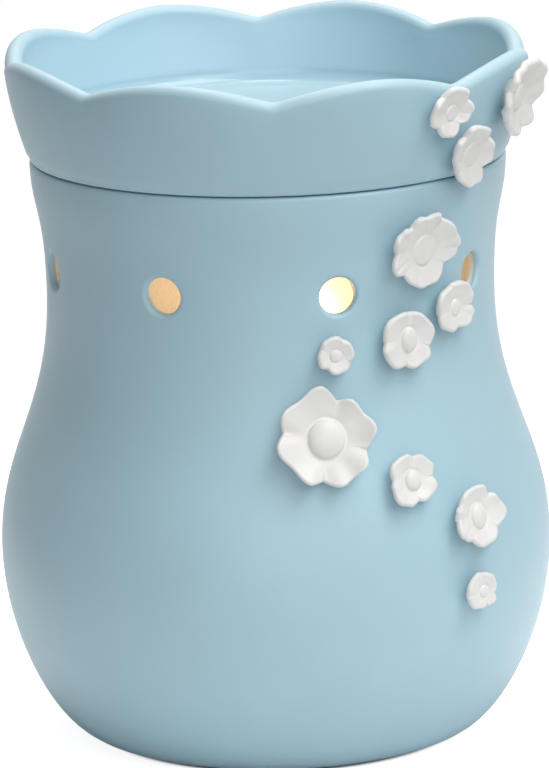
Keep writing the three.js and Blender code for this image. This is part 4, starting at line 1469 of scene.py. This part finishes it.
BODY_FLOWERS = (
    Flower(
        "top", 38.6, 120.8, 3.4,
        (
            Petal(65, 8.3, ((78, 9.4), (96, 8.5), (112, 9.1)), (0.9, 0.3, 0.2)),
            Petal(130, 7.9, ((142, 10.0), (158, 10.8)), (0.7, 0.7)),
            Petal(178, 8.7, ((196, 10.1), (205, 9.9)), (0.2, 0.3)),
            Petal(222, 7.8, ((241, 8.3), (267, 8.8), (292, 8.6))),
            Petal(329, 6.9, ((353, 9.0), (6, 9.6), (35, 9.0)), (0.0, 0.3, 0.4)),
        ),
        shape=ButtonShape.DISC, thickness=1.5, groove=0.25, fold=0.55, squeeze=0.85, cup=1.35,
    ),
    Flower(
        "right", 49.9, 105.3, 1.9,
        (
            Petal(104, 5.8, ((119, 6.2), (151, 7.3)), (0.2, 0.4)),
            Petal(191, 5.9, ((212, 6.5), (251, 5.7))),
            Petal(281, 4.9, ((320, 6.3), (343, 6.4)), (0.2, 0.2)),
            Petal(2, 5.7, ((24, 6.4), (51, 6.5), (77, 6.3)), (0.2, 0.4, 0.3)),
        ),
        thickness=1.7, button_rise=0.28, squeeze=0.8, ruffle=0.1, cup=0.8,
    ),
    Flower(
        "middle", 34.4, 100.2, 2.8,
        (
            Petal(92, 6.3, ((102, 6.7), (147, 7.6)), (0.3, 0.2)),
            Petal(181, 6.6, ((196, 7.7), (230, 7.6)), (0.3, 0.0)),
            Petal(259, 6.2, ((280, 6.9), (320, 7.1))),
            Petal(340, 6.1, ((13, 7.0), (64, 6.6)), (0.2, 0.4)),
        ),
        thickness=1.7, button_rise=0.36, squeeze=0.72, ruffle=0.15, cup=0.8,
    ),
    Flower(
        "left", 15.1, 98.5, 1.3,
        (
            Petal(62, 4.1, ((87, 4.5), (128, 4.4))),
            Petal(158, 3.9, ((184, 4.3), (212, 4.5))),
            Petal(237, 3.7, ((268, 4.5), (300, 4.4))),
            Petal(338, 3.9, ((4, 4.4), (34, 4.4))),
        ),
        thickness=1.6, button_rise=0.3, ruffle=0.0, fold=0.25, cup=0.6,
    ),
    Flower(
        "large", 11.7, 79.8, 4.4,
        (
            Petal(71, 9.0, ((96, 11.8), (150, 11.7)), (0.9, 0.8)),
            Petal(170, 10.2, ((190, 12.1), (242, 11.5)), (1.0, 0.8)),
            Petal(260, 9.8, ((282, 11.4), (319, 10.9)), (0.8, 1.0)),
            Petal(342, 9.4, ((9, 11.4), (51, 10.4)), (0.8, 0.7)),
        ),
        thickness=1.2, ruffle=0.8, fold=0.9, squeeze=0.95, cup=1.7, straightness=0.9,
    ),
    Flower(
        "low", 30.2, 68.9, 2.3,
        (
            Petal(81, 5.5, ((100, 6.1), (147, 6.5)), (0.3, 0.2)),
            Petal(173, 5.3, ((193, 6.2), (224, 7.1), (248, 6.3)), (0.2, 0.3, 0.0)),
            Petal(276, 5.0, ((293, 5.6), (337, 6.0)), (0.0, 0.2)),
            Petal(5, 5.3, ((30, 6.3), (60, 6.2)), (0.2, 0.2)),
        ),
        thickness=1.5, squeeze=0.9, ruffle=0.15, cup=0.9,
    ),
    Flower(
        "belly", 44.9, 58.9, 2.9,
        (
            Petal(50, 6.0, ((76, 6.9), (129, 6.9)), (0.7, 0.3)),
            Petal(150, 6.3, ((165, 7.8),), (0.5,)),
            Petal(182, 7.2, ((205, 8.3), (221, 7.6)), (0.3, 0.1)),
            Petal(236, 6.6, ((261, 7.4), (296, 7.1))),
            Petal(325, 6.3, ((358, 8.1), (33, 6.9)), (0.4, 0.3)),
        ),
        thickness=1.5, squeeze=0.8, ruffle=0.2, cup=1.1,
    ),
    Flower(
        "last", 44.7, 42.3, 1.3,
        (
            Petal(93, 4.4, ((123, 5.3), (162, 5.7))),
            Petal(188, 5.4, ((220, 5.1), (253, 4.1))),
            Petal(282, 3.8, ((319, 4.5),)),
            Petal(347, 3.5, ((14, 3.9), (58, 4.2)), (0.0, 0.2)),
        ),
        thickness=1.5, button_rise=0.3, ruffle=0.05, fold=0.25, cup=0.6,
    ),
)


@dataclass
class FlowerTrail:
    """The eleven flowers that fall from the rim of the dish across the front of the body."""

    body: LampBody
    dish: WaxDish
    on_dish: tuple[Flower, ...] = DISH_FLOWERS
    on_body: tuple[Flower, ...] = BODY_FLOWERS

    def make(self) -> None:
        """Makes each flower on its frame on the dish or on the body."""
        for flower in self.on_dish:
            place = self.dish.frame_at(np.radians(flower.turn), flower.height)
            flower.make(place, Body.DISH, f"dish_flower_{flower.name}")
        for flower in self.on_body:
            place = self.body.frame_at(np.radians(flower.turn), flower.height)
            flower.make(place, Body.BASE, f"body_flower_{flower.name}")


# The lamp


def screw_wave(heights: Array, turns: Array, pitch: float) -> Array:
    """A thread's wave, from 0 at the roots to 1 at the crests, climbing one pitch a turn."""
    return 0.5 + 0.5 * np.cos(2 * np.pi * (heights / pitch - turns / (2 * np.pi)))


def faded(heights: Array, low: float, high: float, run: float) -> Array:
    """1 between two heights and 0 at them, with a smooth run in and out."""
    share = np.clip(np.minimum(heights - low, high - heights) / run, 0, 1)
    return share * share * (3 - 2 * share)


@dataclass
class GlobeLamp:
    """A lit globe lamp with a screw cap, in heights above the tip of its contact."""

    globe_radius: float = 20.0
    globe_height: float = 96.0
    length: float = 70.0
    glass_thickness: float = 0.8
    neck_radius: float = 6.2
    cap_radius: float = 6.95
    cap_length: float = 17.0
    cap_wall: float = 0.4
    cap_taper: float = 1.8
    cap_overlap: float = 7.0
    insulator_length: float = 3.5
    contact_radius: float = 2.4
    contact_length: float = 1.8
    neck_pull: float = 5.0
    shoulder: float = np.radians(-48)
    stem_flare_height: float = 14.0
    stem_radius: float = 1.8
    stem_top_drop: float = 14.0
    stem_foot_power: float = 1.5
    stem_crown: float = 0.9
    insulator_rounding: float = 0.4
    thread_pitch: float = 2.82
    thread_depth: float = 0.55
    thread_run: float = 1.2  # length over which a thread starts and ends
    plain_rim: float = 2.5
    globe_rows: int = 40
    neck_rows: int = 15
    stem_rows: int = 14
    crown_rows: int = 7
    contact_rows: int = 9
    cap_rows: int = 84
    taper_rows: int = 5
    columns: int = 64

    @property
    def tip(self) -> float:
        """The height of the contact's tip above the foot ring."""
        return self.globe_height + self.globe_radius - self.length

    @property
    def cap_foot(self) -> float:
        """The foot of the metal cap, above the tip."""
        return self.contact_length + SEAT_GAP + self.insulator_length + SEAT_GAP

    def add(self, name: str, node: str, profile: Array, finish: Finish) -> None:
        """Makes a turned piece of the lamp.

        Args:
            name: The piece's name.
            node: The CAD node that it stands for.
            profile: Radius and height above the tip.
            finish: Its finish.
        """
        patch = Patch(turned(profile + np.array([0.0, self.tip]), full_turn(self.columns)))
        add_piece(name, [patch], Body.LAMP, node, finish)

    def glass_outline(self, inset: float) -> Array:
        """The glass from the cap to the crown: a straight neck, a cubic curve and a circle.

        Args:
            inset: The distance inside the outer surface.

        Returns:
            Radius and height above the tip, one row for each point.
        """
        middle = self.length - self.globe_radius
        radius, neck = self.globe_radius - inset, self.neck_radius - inset
        rim = self.cap_foot + self.cap_length
        bend = np.linspace(self.shoulder, np.pi / 2, self.globe_rows)
        circle = np.column_stack([radius * np.cos(bend), middle + radius * np.sin(bend)])
        along = np.array([-np.sin(self.shoulder), np.cos(self.shoulder)])
        ends = [np.array([neck, rim]), np.array([neck, rim + self.neck_pull])]
        ends += [circle[0] - self.neck_pull * along, circle[0]]
        curve = cubic(ends, np.linspace(0, 1, self.neck_rows + 1)[:-1, None])
        return np.concatenate([[(neck, rim - self.cap_overlap)], curve, circle])

    def make(self) -> None:
        """Makes the lamp's glass, stem, cap, insulator and contact, and dresses its wires.

        The insulator is a cone with rounded edges, and the contact half an ellipse on a short
        cylinder.
        """
        glass = [self.glass_outline(0.0)[::-1], self.glass_outline(self.glass_thickness)]
        self.add("opal_globe", "lamp_globe", np.concatenate(glass), OPAL_GLASS)
        self.add("flared_stem", "lamp_stem", self.stem_profile(), STEM_GLASS)
        self.make_cap()
        insulator = [
            (0.0, self.contact_length + SEAT_GAP),
            (self.contact_radius, self.contact_length + SEAT_GAP),
            (self.cap_radius - self.cap_taper, self.cap_foot - SEAT_GAP),
            (0.0, self.cap_foot - SEAT_GAP),
        ]
        rounded = capped(insulator, self.insulator_rounding)
        self.add("glass_insulator", "lamp_insulator", rounded, BLACK_GLASS)
        bend = np.radians(np.linspace(-90, 0, self.contact_rows))
        half = self.contact_length / 2
        dome = np.column_stack([self.contact_radius * np.cos(bend), half * (1 + np.sin(bend))])
        contact = np.concatenate([dome, [(self.contact_radius, 2 * half), (0.0, 2 * half)]])
        self.add("solder_contact", "lamp_contact", contact, SOLDER)
        dress_node("lamp_lead_left", NICKEL)
        dress_node("lamp_lead_right", NICKEL)
        dress_node("lamp_filament", TUNGSTEN)

    def stem_profile(self) -> Array:
        """The glass stem: slim and rounded at its top, widening to fill the neck at its foot.

        The widening is a power of the way down from the top of the flare.

        Returns:
            Radius and height above the tip, one row for each point.
        """
        foot = self.cap_foot + self.cap_length - self.cap_overlap
        top = self.length - self.globe_radius - self.stem_top_drop
        flare = self.neck_radius - self.glass_thickness - SEAT_GAP
        share = np.linspace(0, 1, self.stem_rows)
        widening = (flare - self.stem_radius) * (1 - share) ** self.stem_foot_power
        heights = foot + self.stem_flare_height * share
        skirt = np.column_stack([self.stem_radius + widening, heights])
        bend = np.radians(np.linspace(0, 90, self.crown_rows))
        heights = top - self.stem_crown * (1 - np.sin(bend))
        crown = np.column_stack([self.stem_radius * np.cos(bend), heights])
        return np.concatenate([[(0.0, foot)], skirt, crown])

    def make_cap(self) -> None:
        """Makes the screw cap, a thin ring with the same rolled thread inside and outside.

        The radius is the cap's less the thread's depth where the wave is low, and the wave fades
        out at both ends. The foot is a cone.
        """
        foot, rim = self.cap_foot, self.cap_foot + self.cap_length
        start = foot + self.cap_taper
        heights = np.linspace(start, rim, self.cap_rows)
        turns = full_turn(self.columns)
        wave = screw_wave(heights[:, None], turns, self.thread_pitch)
        fade = faded(heights, start, rim - self.plain_rim, self.thread_run)[:, None]
        outer = self.cap_radius - self.thread_depth * (1 - wave) * fade
        narrow = np.array([self.cap_radius - self.cap_taper, foot])
        wide = np.array([self.cap_radius, start])
        taper = np.linspace(narrow, wide, self.taper_rows + 1)[:-1]
        outside: list[Ring] = [*(tuple(point) for point in taper), *zip(outer, heights)]
        inside = [(radius - self.cap_wall, height) for radius, height in reversed(outside)]
        radii, heights = stacked([*outside, *inside, outside[0]], turns)
        patch = Patch(ringed(radii, heights + self.tip, turns))
        add_piece("screw_cap", [patch], Body.LAMP, "lamp_cap", NICKEL)


# The lampholder and what clamps it


@dataclass
class Lampholder:
    """The porcelain holder, its screw sleeve and its contact tongue."""

    lamp: GlobeLamp
    radius: float = 13.5
    taper: float = 4.0
    rim_bevel: float = 1.0
    rim_height: float = 23.0
    floor_thickness: float = 3.0
    boss_depth: float = 5.3
    sleeve_clearance: float = 0.35
    sleeve_wall: float = 0.5
    sleeve_length: float = 14.0
    wire_hole: float = 2.2
    tongue_rise: float = 1.6
    tube_hole: float = 5.3
    corner_rounding: float = 0.7
    longest_step: float = 4.0
    thread_depth: float = 0.2
    thread_rows: int = 70
    columns: int = 72

    @property
    def floor(self) -> float:
        """The floor inside the holder, above the foot ring."""
        return self.lamp.tip - SEAT_GAP - self.tongue_rise - SEAT_GAP

    def make(self) -> None:
        """Makes the porcelain, turned from one rounded outline, and its sleeve.

        The contact tongue keeps its shape and gets its brass.
        """
        inner = self.lamp.cap_radius + self.sleeve_clearance
        bore = inner + self.sleeve_wall + SEAT_GAP
        rim = self.lamp.tip + self.rim_height
        recess = self.floor - self.floor_thickness
        foot = recess - self.boss_depth
        outline = softened(
            [
                (self.tube_hole, foot),
                (self.radius - self.taper, foot),
                (self.radius, foot + self.taper),
                (self.radius, rim - self.rim_bevel),
                (self.radius - self.rim_bevel, rim),
                (bore + self.rim_bevel, rim),
                (bore, rim - self.rim_bevel),
                (bore, self.floor),
                (self.wire_hole, self.floor),
                (self.wire_hole, recess),
                (self.tube_hole, recess),
            ],
            self.corner_rounding,
        )
        profile = steps_between(outline, self.longest_step)
        patch = Patch(turned(profile, full_turn(self.columns)))
        add_piece("porcelain_holder", [patch], Body.BASE, "holder_body", PORCELAIN)
        self.make_sleeve(inner)
        dress_node("holder_contact", BRASS)

    def make_sleeve(self, inner: float) -> None:
        """Makes the brass sleeve, which widens by the thread's depth where its wave is high.

        Args:
            inner: The radius of the thread's crests.
        """
        foot = self.lamp.tip + self.lamp.cap_foot
        heights = np.linspace(foot, foot + self.sleeve_length, self.thread_rows)
        turns = full_turn(self.columns)
        wave = screw_wave(heights[:, None] - self.lamp.tip, turns, self.lamp.thread_pitch)
        fade = faded(heights, heights[0], heights[-1], self.lamp.thread_run)[:, None]
        inside = inner + self.thread_depth * wave * fade
        outside = inside + self.sleeve_wall - self.thread_depth
        radii = np.concatenate([inside, outside[::-1], inside[:1]])
        levels = np.concatenate([heights, heights[::-1], heights[:1]])[:, None]
        patch = Patch(ringed(radii, levels, turns))
        add_piece("screw_sleeve", [patch], Body.BASE, "holder_sleeve", BRASS)


@dataclass
class FloorClamp:
    """The threaded tube, nuts, vented plates and pads under the lampholder."""

    body: LampBody
    holder: Lampholder
    tube_radius: float = 5.0
    tube_bore: float = 3.5
    tube_pitch: float = 1.0
    tube_thread_depth: float = 0.5
    nut_across_flats: float = 14.0
    nut_height: float = 2.8
    nut_chamfer: float = 0.15
    nut_chamfer_angle: float = np.radians(30)
    nut_hole_chamfer: float = 0.5
    nut_face_inset: float = 0.3
    thread_end: float = 0.2
    plate_thickness: float = 1.2
    base_plate_radius: float = 36.0
    clamp_plate_radius: float = 31.0
    vent_holes: int = 6
    vent_radius: float = 3.0
    vent_circle: float = 17.0
    vent_band: float = 6.0  # half the width of the ring that the vents lie in
    plate_bevel: float = 0.2
    pad_radius: float = 5.0
    pad_taper: float = 0.6
    pad_rounding: float = 0.5
    pad_circle: float = 29.0
    pads: int = 4
    sector_columns: int = 20
    sector_rows: int = 9
    face_rows: int = 5  # from a sector's edge to its vent
    nut_columns: int = 96
    tube_columns: int = 36
    tube_rows: int = 6  # to each turn of the thread
    pad_columns: int = 40

    def make(self) -> None:
        """Makes every part of the clamp, from the pads up."""
        base_foot = self.body.foot_recess - SEAT_GAP - self.plate_thickness
        clamp_foot = self.body.foot_recess + self.body.floor_thickness + SEAT_GAP
        self.make_plate("vented_base_plate", "base_plate", self.base_plate_radius, base_foot)
        self.make_plate("vented_clamp_plate", "clamp_plate", self.clamp_plate_radius, clamp_foot)
        lower_foot = base_foot - SEAT_GAP - self.nut_height
        upper_foot = clamp_foot + self.plate_thickness + SEAT_GAP
        self.make_nut("under_nut", "lower_nut", lower_foot)
        self.make_nut("over_nut", "upper_nut", upper_foot)
        self.make_tube(lower_foot - self.thread_end)
        self.make_pads(base_foot - SEAT_GAP)

    def make_plate(self, name: str, node: str, radius: float, foot: float) -> None:
        """Makes a round plate with a ring of vents.

        The plate is a ring of equal sectors. Each has one vent, and the rows run from the
        sector's edge to the vent over the top, down through it and back out underneath.

        Args:
            name: The piece's name.
            node: The CAD node that it stands for.
            radius: The plate's radius.
            foot: The height of its underside.
        """
        sector = 2 * np.pi / self.vent_holes
        near, far = self.vent_circle - self.vent_band, self.vent_circle + self.vent_band
        lengths = np.linspace(near, far, self.sector_rows)
        top, bevel = foot + self.plate_thickness, self.plate_bevel
        shares = np.linspace(0, 1, self.face_rows)
        levels = [(top, share, bevel) for share in shares[::-1]]
        levels += [(top - bevel, 0.0, 0.0), (foot + bevel, 0.0, 0.0)]
        levels += [(foot, share, bevel) for share in shares]
        steps = np.arange(self.sector_columns + 1) / self.sector_columns - 0.5
        patches = []
        for vent in range(self.vent_holes):
            middle = vent * sector
            edge_turns, edge_lengths = window_loop(middle + steps * sector, lengths)
            angles = np.arange(len(edge_turns)) * 2 * np.pi / len(edge_turns)
            edge = ringed(edge_lengths, 0.0, edge_turns)[:, :2]
            out, side = heading(middle)[:2], heading(middle + np.pi / 2)[:2]
            around = np.cos(angles)[:, None] * side + np.sin(angles)[:, None] * out
            rows = []
            for level, share, ring in levels:
                circle = out * self.vent_circle + (self.vent_radius + ring) * around
                flat = (1 - share) * circle + share * edge
                rows.append(np.column_stack([flat, np.full(len(flat), level + STAND_HEIGHT)]))
            patches.append(Patch(np.stack(rows)))
        turns = full_turn(self.sector_columns * self.vent_holes, -sector / 2)
        for start, side, end in ((near, 1, self.holder.tube_hole), (far, -1, radius)):
            upper = [(start, top), (end + side * bevel, top), (end, top - bevel)]
            lower = [(end, foot + bevel), (end + side * bevel, foot), (start, foot)]
            patches.append(Patch(turned(np.array(upper + lower), turns)))
        add_piece(name, patches, Body.BASE, node, ZINC)

    def make_nut(self, name: str, node: str, foot: float) -> None:
        """Makes a hexagon nut with chamfered corners.

        The side's radius is the flat's distance over the cosine of the angle from its middle, and
        the chamfer lowers its top by the run past the flats at the chamfer's angle.

        Args:
            name: The piece's name.
            node: The CAD node that it stands for.
            foot: The height of its underside.
        """
        turns = full_turn(self.nut_columns)
        flat = self.nut_across_flats / 2
        from_flat = np.mod(turns, np.pi / 3) - np.pi / 6
        side = flat / np.cos(from_flat)
        drop = (side - flat) * np.tan(self.nut_chamfer_angle) + self.nut_chamfer
        hole, chamfer = self.holder.tube_hole, self.nut_hole_chamfer
        face = flat - self.nut_face_inset
        top = foot + self.nut_height
        upper = [(hole, top - chamfer), (hole + chamfer, top), (face, top), (side, top - drop)]
        lower = [(side, foot + drop), (face, foot), (hole + chamfer, foot), (hole, foot + chamfer)]
        points = ringed(*stacked([*upper, *lower, upper[0]], turns), turns + np.pi / 2)
        nut = add_piece(name, [Patch(points)], Body.BASE, node, ZINC)
        nut.data.shade_flat()

    def make_tube(self, foot: float) -> None:
        """Makes the tube, thinner by the thread's depth where the thread's wave is low.

        Args:
            foot: The height of its lower end.
        """
        top = self.holder.floor - self.holder.floor_thickness - SEAT_GAP
        heights = np.linspace(foot, top, int((top - foot) / self.tube_pitch * self.tube_rows))
        turns = full_turn(self.tube_columns)
        wave = screw_wave(heights[:, None], turns, self.tube_pitch)
        outer = self.tube_radius - self.tube_thread_depth * (1 - wave)
        bore = np.full((2, len(turns)), self.tube_bore)
        radii = np.concatenate([outer, bore, outer[:1]])
        levels = np.concatenate([heights, [top, foot, foot]])[:, None]
        patch = Patch(ringed(radii, levels, turns))
        add_piece("screwed_tube", [patch], Body.BASE, "threaded_tube", ZINC)

    def make_pads(self, top: float) -> None:
        """Makes the rubber feet, cones with rounded edges.

        Args:
            top: The height of their upper face.
        """
        foot = self.pad_radius - self.pad_taper
        corners = [(0.0, top), (self.pad_radius, top), (foot, -STAND_HEIGHT), (0.0, -STAND_HEIGHT)]
        points = turned(capped(corners, self.pad_rounding), full_turn(self.pad_columns))
        for number in range(self.pads):
            place = heading(np.pi / self.pads + number * 2 * np.pi / self.pads) * self.pad_circle
            name, node = f"rubber_foot_{number + 1}", f"foot_pad_{number + 1}"
            add_piece(name, [Patch(points + place)], Body.BASE, node, RUBBER)


@dataclass
class CordGland:
    """The bush in the back wall, with a flange on each side of it."""

    body: LampBody
    bore: float = 3.8
    neck: float = 5.2
    flange: float = 6.6
    flange_thickness: float = 1.6
    flange_bevel: float = 0.6
    corner_rounding: float = 0.5
    columns: int = 48

    def make(self) -> None:
        """Makes the bush, turned from one rounded outline about the wall's own normal.

        The inner flange stands off by half the flange's square over each of the wall's radii,
        which is how far the wall curves away from flat under it.
        """
        place = self.body.frame_at(np.pi, self.body.gland_height)
        square = self.flange**2 / 2
        curve = square / self.body.belly_radius + square / self.body.belly_height
        back = -self.body.wall - curve - 2 * SEAT_GAP
        thick = self.flange_thickness
        outline = softened(
            [
                (self.bore, thick),
                (self.bore, back - thick),
                (self.flange, back - thick),
                (self.flange, back),
                (self.neck, back),
                (self.neck, 0.0),
                (self.flange, 0.0),
                (self.flange - self.flange_bevel, thick),
            ],
            self.corner_rounding,
        )
        angles = full_turn(self.columns)
        around = outline[:, :1] * np.stack([np.cos(angles), np.sin(angles)])[:, None]
        points = np.stack([*around, outline[:, 1:] + 0 * angles], axis=-1)
        patch = Patch(placed(points, place))
        add_piece("wall_bush", [patch], Body.BASE, "cord_gland", RUBBER)


# The studio


@dataclass(frozen=True)
class SoftLamp:
    """A square soft light that faces the middle of the object."""

    name: str
    turn: float  # degrees round the object, from the front towards its right
    rise: float  # degrees above the table
    power: float
    size: float = 0.9
    distance: float = 1.6


@dataclass
class Studio:
    """The camera at the photograph's angle, a plain pale floor and soft light."""

    distance: float = 1.45
    elevation: float = np.radians(12.84)
    roll: float = np.radians(-1.28)
    aim: tuple[float, float, float] = (0.00042, 0.0, 0.0815)
    lens: float = 292.5
    sensor: float = 36.0
    far_end: float = 50.0
    floor_size: float = 12.0
    # painted shade: the paper is darker round the foot, so the floor there is dimmer and throws
    # less light up under the body
    near_paper_shade: str = "#e2e2e2"
    paper: str = "#f0f0f0"
    far_paper: str = "#848484"
    near_foot: tuple[float, float] = (0.045, 0.07)  # how far out near paper turns to paper
    paper_edge: tuple[float, float] = (0.12, 0.38)  # and paper to far paper
    floor_lift: float = 0.85  # brightness that the camera sees on the floor without any light
    foot_shade: tuple[float, float] = (0.0405, 0.043)  # how far out it comes in, past the foot
    # painted shadow: near the foot the floor's lift is left out of reflections, so the body's lower
    # edge darkens
    dim_reflection: tuple[float, float] = (0.045, 0.09)  # and comes in for reflections
    ambient: float = 0.165
    lamps: tuple[SoftLamp, ...] = (
        SoftLamp("key", 60, 60, 13.2),
        SoftLamp("front", 30, 35, 5.5),
        SoftLamp("side", 60, 20, 1.4),
        SoftLamp("low_front", 0, 10, 5.3),
        SoftLamp("overhead", 0, 89, 2.6, size=0.35),
        SoftLamp("behind", 180, 60, 7.0),
    )

    def make(self) -> None:
        """Builds the camera, the floor, the world and the lamps."""
        bpy.context.scene.view_settings.view_transform = "Standard"
        self.make_camera()
        self.make_floor()
        self.make_world()
        for lamp in self.lamps:
            self.add_lamp(lamp)

    def make_camera(self) -> None:
        """Places the camera at the front, raised, and rolls it a little."""
        aim = Vector(self.aim)
        level, height = np.cos(self.elevation), np.sin(self.elevation)
        place = Vector((0, -self.distance * level, aim.z + self.distance * height))
        forward = (aim - place).normalized()
        right = forward.cross(Vector((0, 0, 1))).normalized()
        up = right.cross(forward)
        turned_right = right * np.cos(self.roll) + up * np.sin(self.roll)
        turned_up = up * np.cos(self.roll) - right * np.sin(self.roll)
        data = bpy.data.cameras.new("camera")
        data.lens = self.lens
        data.sensor_width = self.sensor
        data.clip_end = self.far_end
        camera = bpy.data.objects.new("camera", data)
        axes = Matrix((turned_right, turned_up, -forward)).transposed()
        camera.matrix_world = Matrix.Translation(place) @ axes.to_4x4()
        bpy.context.scene.collection.objects.link(camera)
        bpy.context.scene.camera = camera

    def make_floor(self) -> None:
        """A white floor that shows as white where it is lit, and keeps the shadow."""
        half = self.floor_size / 2
        corners = [(-half, -half, 0), (half, -half, 0), (half, half, 0), (-half, half, 0)]
        mesh = bpy.data.meshes.new("floor")
        mesh.from_pydata(corners, [], [(0, 1, 2, 3)])
        floor = bpy.data.objects.new("floor", mesh)
        bpy.context.scene.collection.objects.link(floor)
        material = bpy.data.materials.new("white_paper_floor")
        material.use_nodes = True
        tree = material.node_tree
        tree.nodes.clear()
        where = add_node(tree, "ShaderNodeTexCoord").outputs["Object"]
        apart = add_node(tree, "ShaderNodeVectorMath", links={0: where}, operation="LENGTH")
        outwards = add_node(
            tree,
            "ShaderNodeMapRange",
            {1: self.paper_edge[0], 2: self.paper_edge[1]},
            {0: apart.outputs["Value"]},
            interpolation_type="SMOOTHSTEP",
        )
        paper = add_node(
            tree,
            "ShaderNodeMix",
            {6: linear(self.paper), 7: linear(self.far_paper)},
            {0: outwards.outputs[0]},
            data_type="RGBA",
        )
        beside = add_node(
            tree,
            "ShaderNodeMapRange",
            {1: self.near_foot[0], 2: self.near_foot[1]},
            {0: apart.outputs["Value"]},
            interpolation_type="SMOOTHSTEP",
        )
        # painted shade round the foot
        paper = add_node(
            tree,
            "ShaderNodeMix",
            {6: linear(self.near_paper_shade)},
            {0: beside.outputs[0], 7: paper.outputs[2]},
            data_type="RGBA",
        )
        diffuse = add_node(tree, "ShaderNodeBsdfDiffuse", links={"Color": paper.outputs[2]})
        path = add_node(tree, "ShaderNodeLightPath")
        # painted shadow in reflections of the floor near the foot
        clear = add_node(
            tree,
            "ShaderNodeMapRange",
            {1: self.dim_reflection[0], 2: self.dim_reflection[1]},
            {0: apart.outputs["Value"]},
            interpolation_type="SMOOTHSTEP",
        )
        reflected = add_node(
            tree,
            "ShaderNodeMath",
            links={0: path.outputs["Is Glossy Ray"], 1: clear.outputs[0]},
            operation="MULTIPLY",
        )
        seen = add_node(
            tree,
            "ShaderNodeMath",
            links={0: path.outputs["Is Camera Ray"], 1: reflected.outputs[0]},
            operation="MAXIMUM",
        )
        open_floor = add_node(
            tree,
            "ShaderNodeMapRange",
            {1: self.foot_shade[0], 2: self.foot_shade[1], 4: self.floor_lift},
            {0: apart.outputs["Value"]},
            interpolation_type="SMOOTHSTEP",
        )
        lifted = add_node(
            tree,
            "ShaderNodeMath",
            links={0: seen.outputs[0], 1: open_floor.outputs[0]},
            operation="MULTIPLY",
        )
        lift = add_node(tree, "ShaderNodeEmission", links={"Strength": lifted.outputs[0]})
        both = add_node(
            tree, "ShaderNodeAddShader", links={0: diffuse.outputs[0], 1: lift.outputs[0]}
        )
        add_node(tree, "ShaderNodeOutputMaterial", links={"Surface": both.outputs[0]})
        mesh.materials.append(material)

    def make_world(self) -> None:
        """A world that lights evenly and looks white to the camera and in reflections."""
        world = bpy.data.worlds.new("white_room")
        bpy.context.scene.world = world
        world.use_nodes = True
        tree = world.node_tree
        tree.nodes.clear()
        path = add_node(tree, "ShaderNodeLightPath")
        glossy = add_node(
            tree,
            "ShaderNodeMath",
            links={0: path.outputs["Is Glossy Ray"], 1: path.outputs["Is Transmission Ray"]},
            operation="MAXIMUM",
        )
        seen = add_node(
            tree,
            "ShaderNodeMath",
            links={0: path.outputs["Is Camera Ray"], 1: glossy.outputs[0]},
            operation="MAXIMUM",
        )
        strength = add_node(
            tree, "ShaderNodeMapRange", {3: self.ambient, 4: 1.0}, {0: seen.outputs[0]}
        )
        sky = add_node(
            tree,
            "ShaderNodeBackground",
            {"Color": (1.0, 1.0, 1.0, 1.0)},
            {"Strength": strength.outputs[0]},
        )
        add_node(tree, "ShaderNodeOutputWorld", links={"Surface": sky.outputs[0]})

    def add_lamp(self, lamp: SoftLamp) -> None:
        """Adds a lamp that faces the middle of the object.

        Args:
            lamp: Where it stands and how bright it is.
        """
        turn, rise = np.radians(lamp.turn), np.radians(lamp.rise)
        data = bpy.data.lights.new(lamp.name, "AREA")
        data.size = lamp.size
        data.energy = lamp.power
        light = bpy.data.objects.new(lamp.name, data)
        away = Vector(heading(turn)) * np.cos(rise) + Vector((0, 0, np.sin(rise)))
        light.location = Vector(self.aim) + away * lamp.distance
        light.rotation_euler = (-away).to_track_quat("-Z", "Y").to_euler()
        bpy.context.scene.collection.objects.link(light)


def main() -> None:
    """Builds the studio and every sub-assembly."""
    logging.basicConfig(level=logging.INFO, format="%(name)s %(message)s")
    Studio().make()
    body = LampBody()
    body.make()
    dish = WaxDish(body)
    dish.make()
    FlowerTrail(body, dish).make()
    lamp = GlobeLamp()
    lamp.make()
    holder = Lampholder(lamp)
    holder.make()
    FloorClamp(body, holder).make()
    CordGland(body).make()


if __name__ == "__main__":
    main()
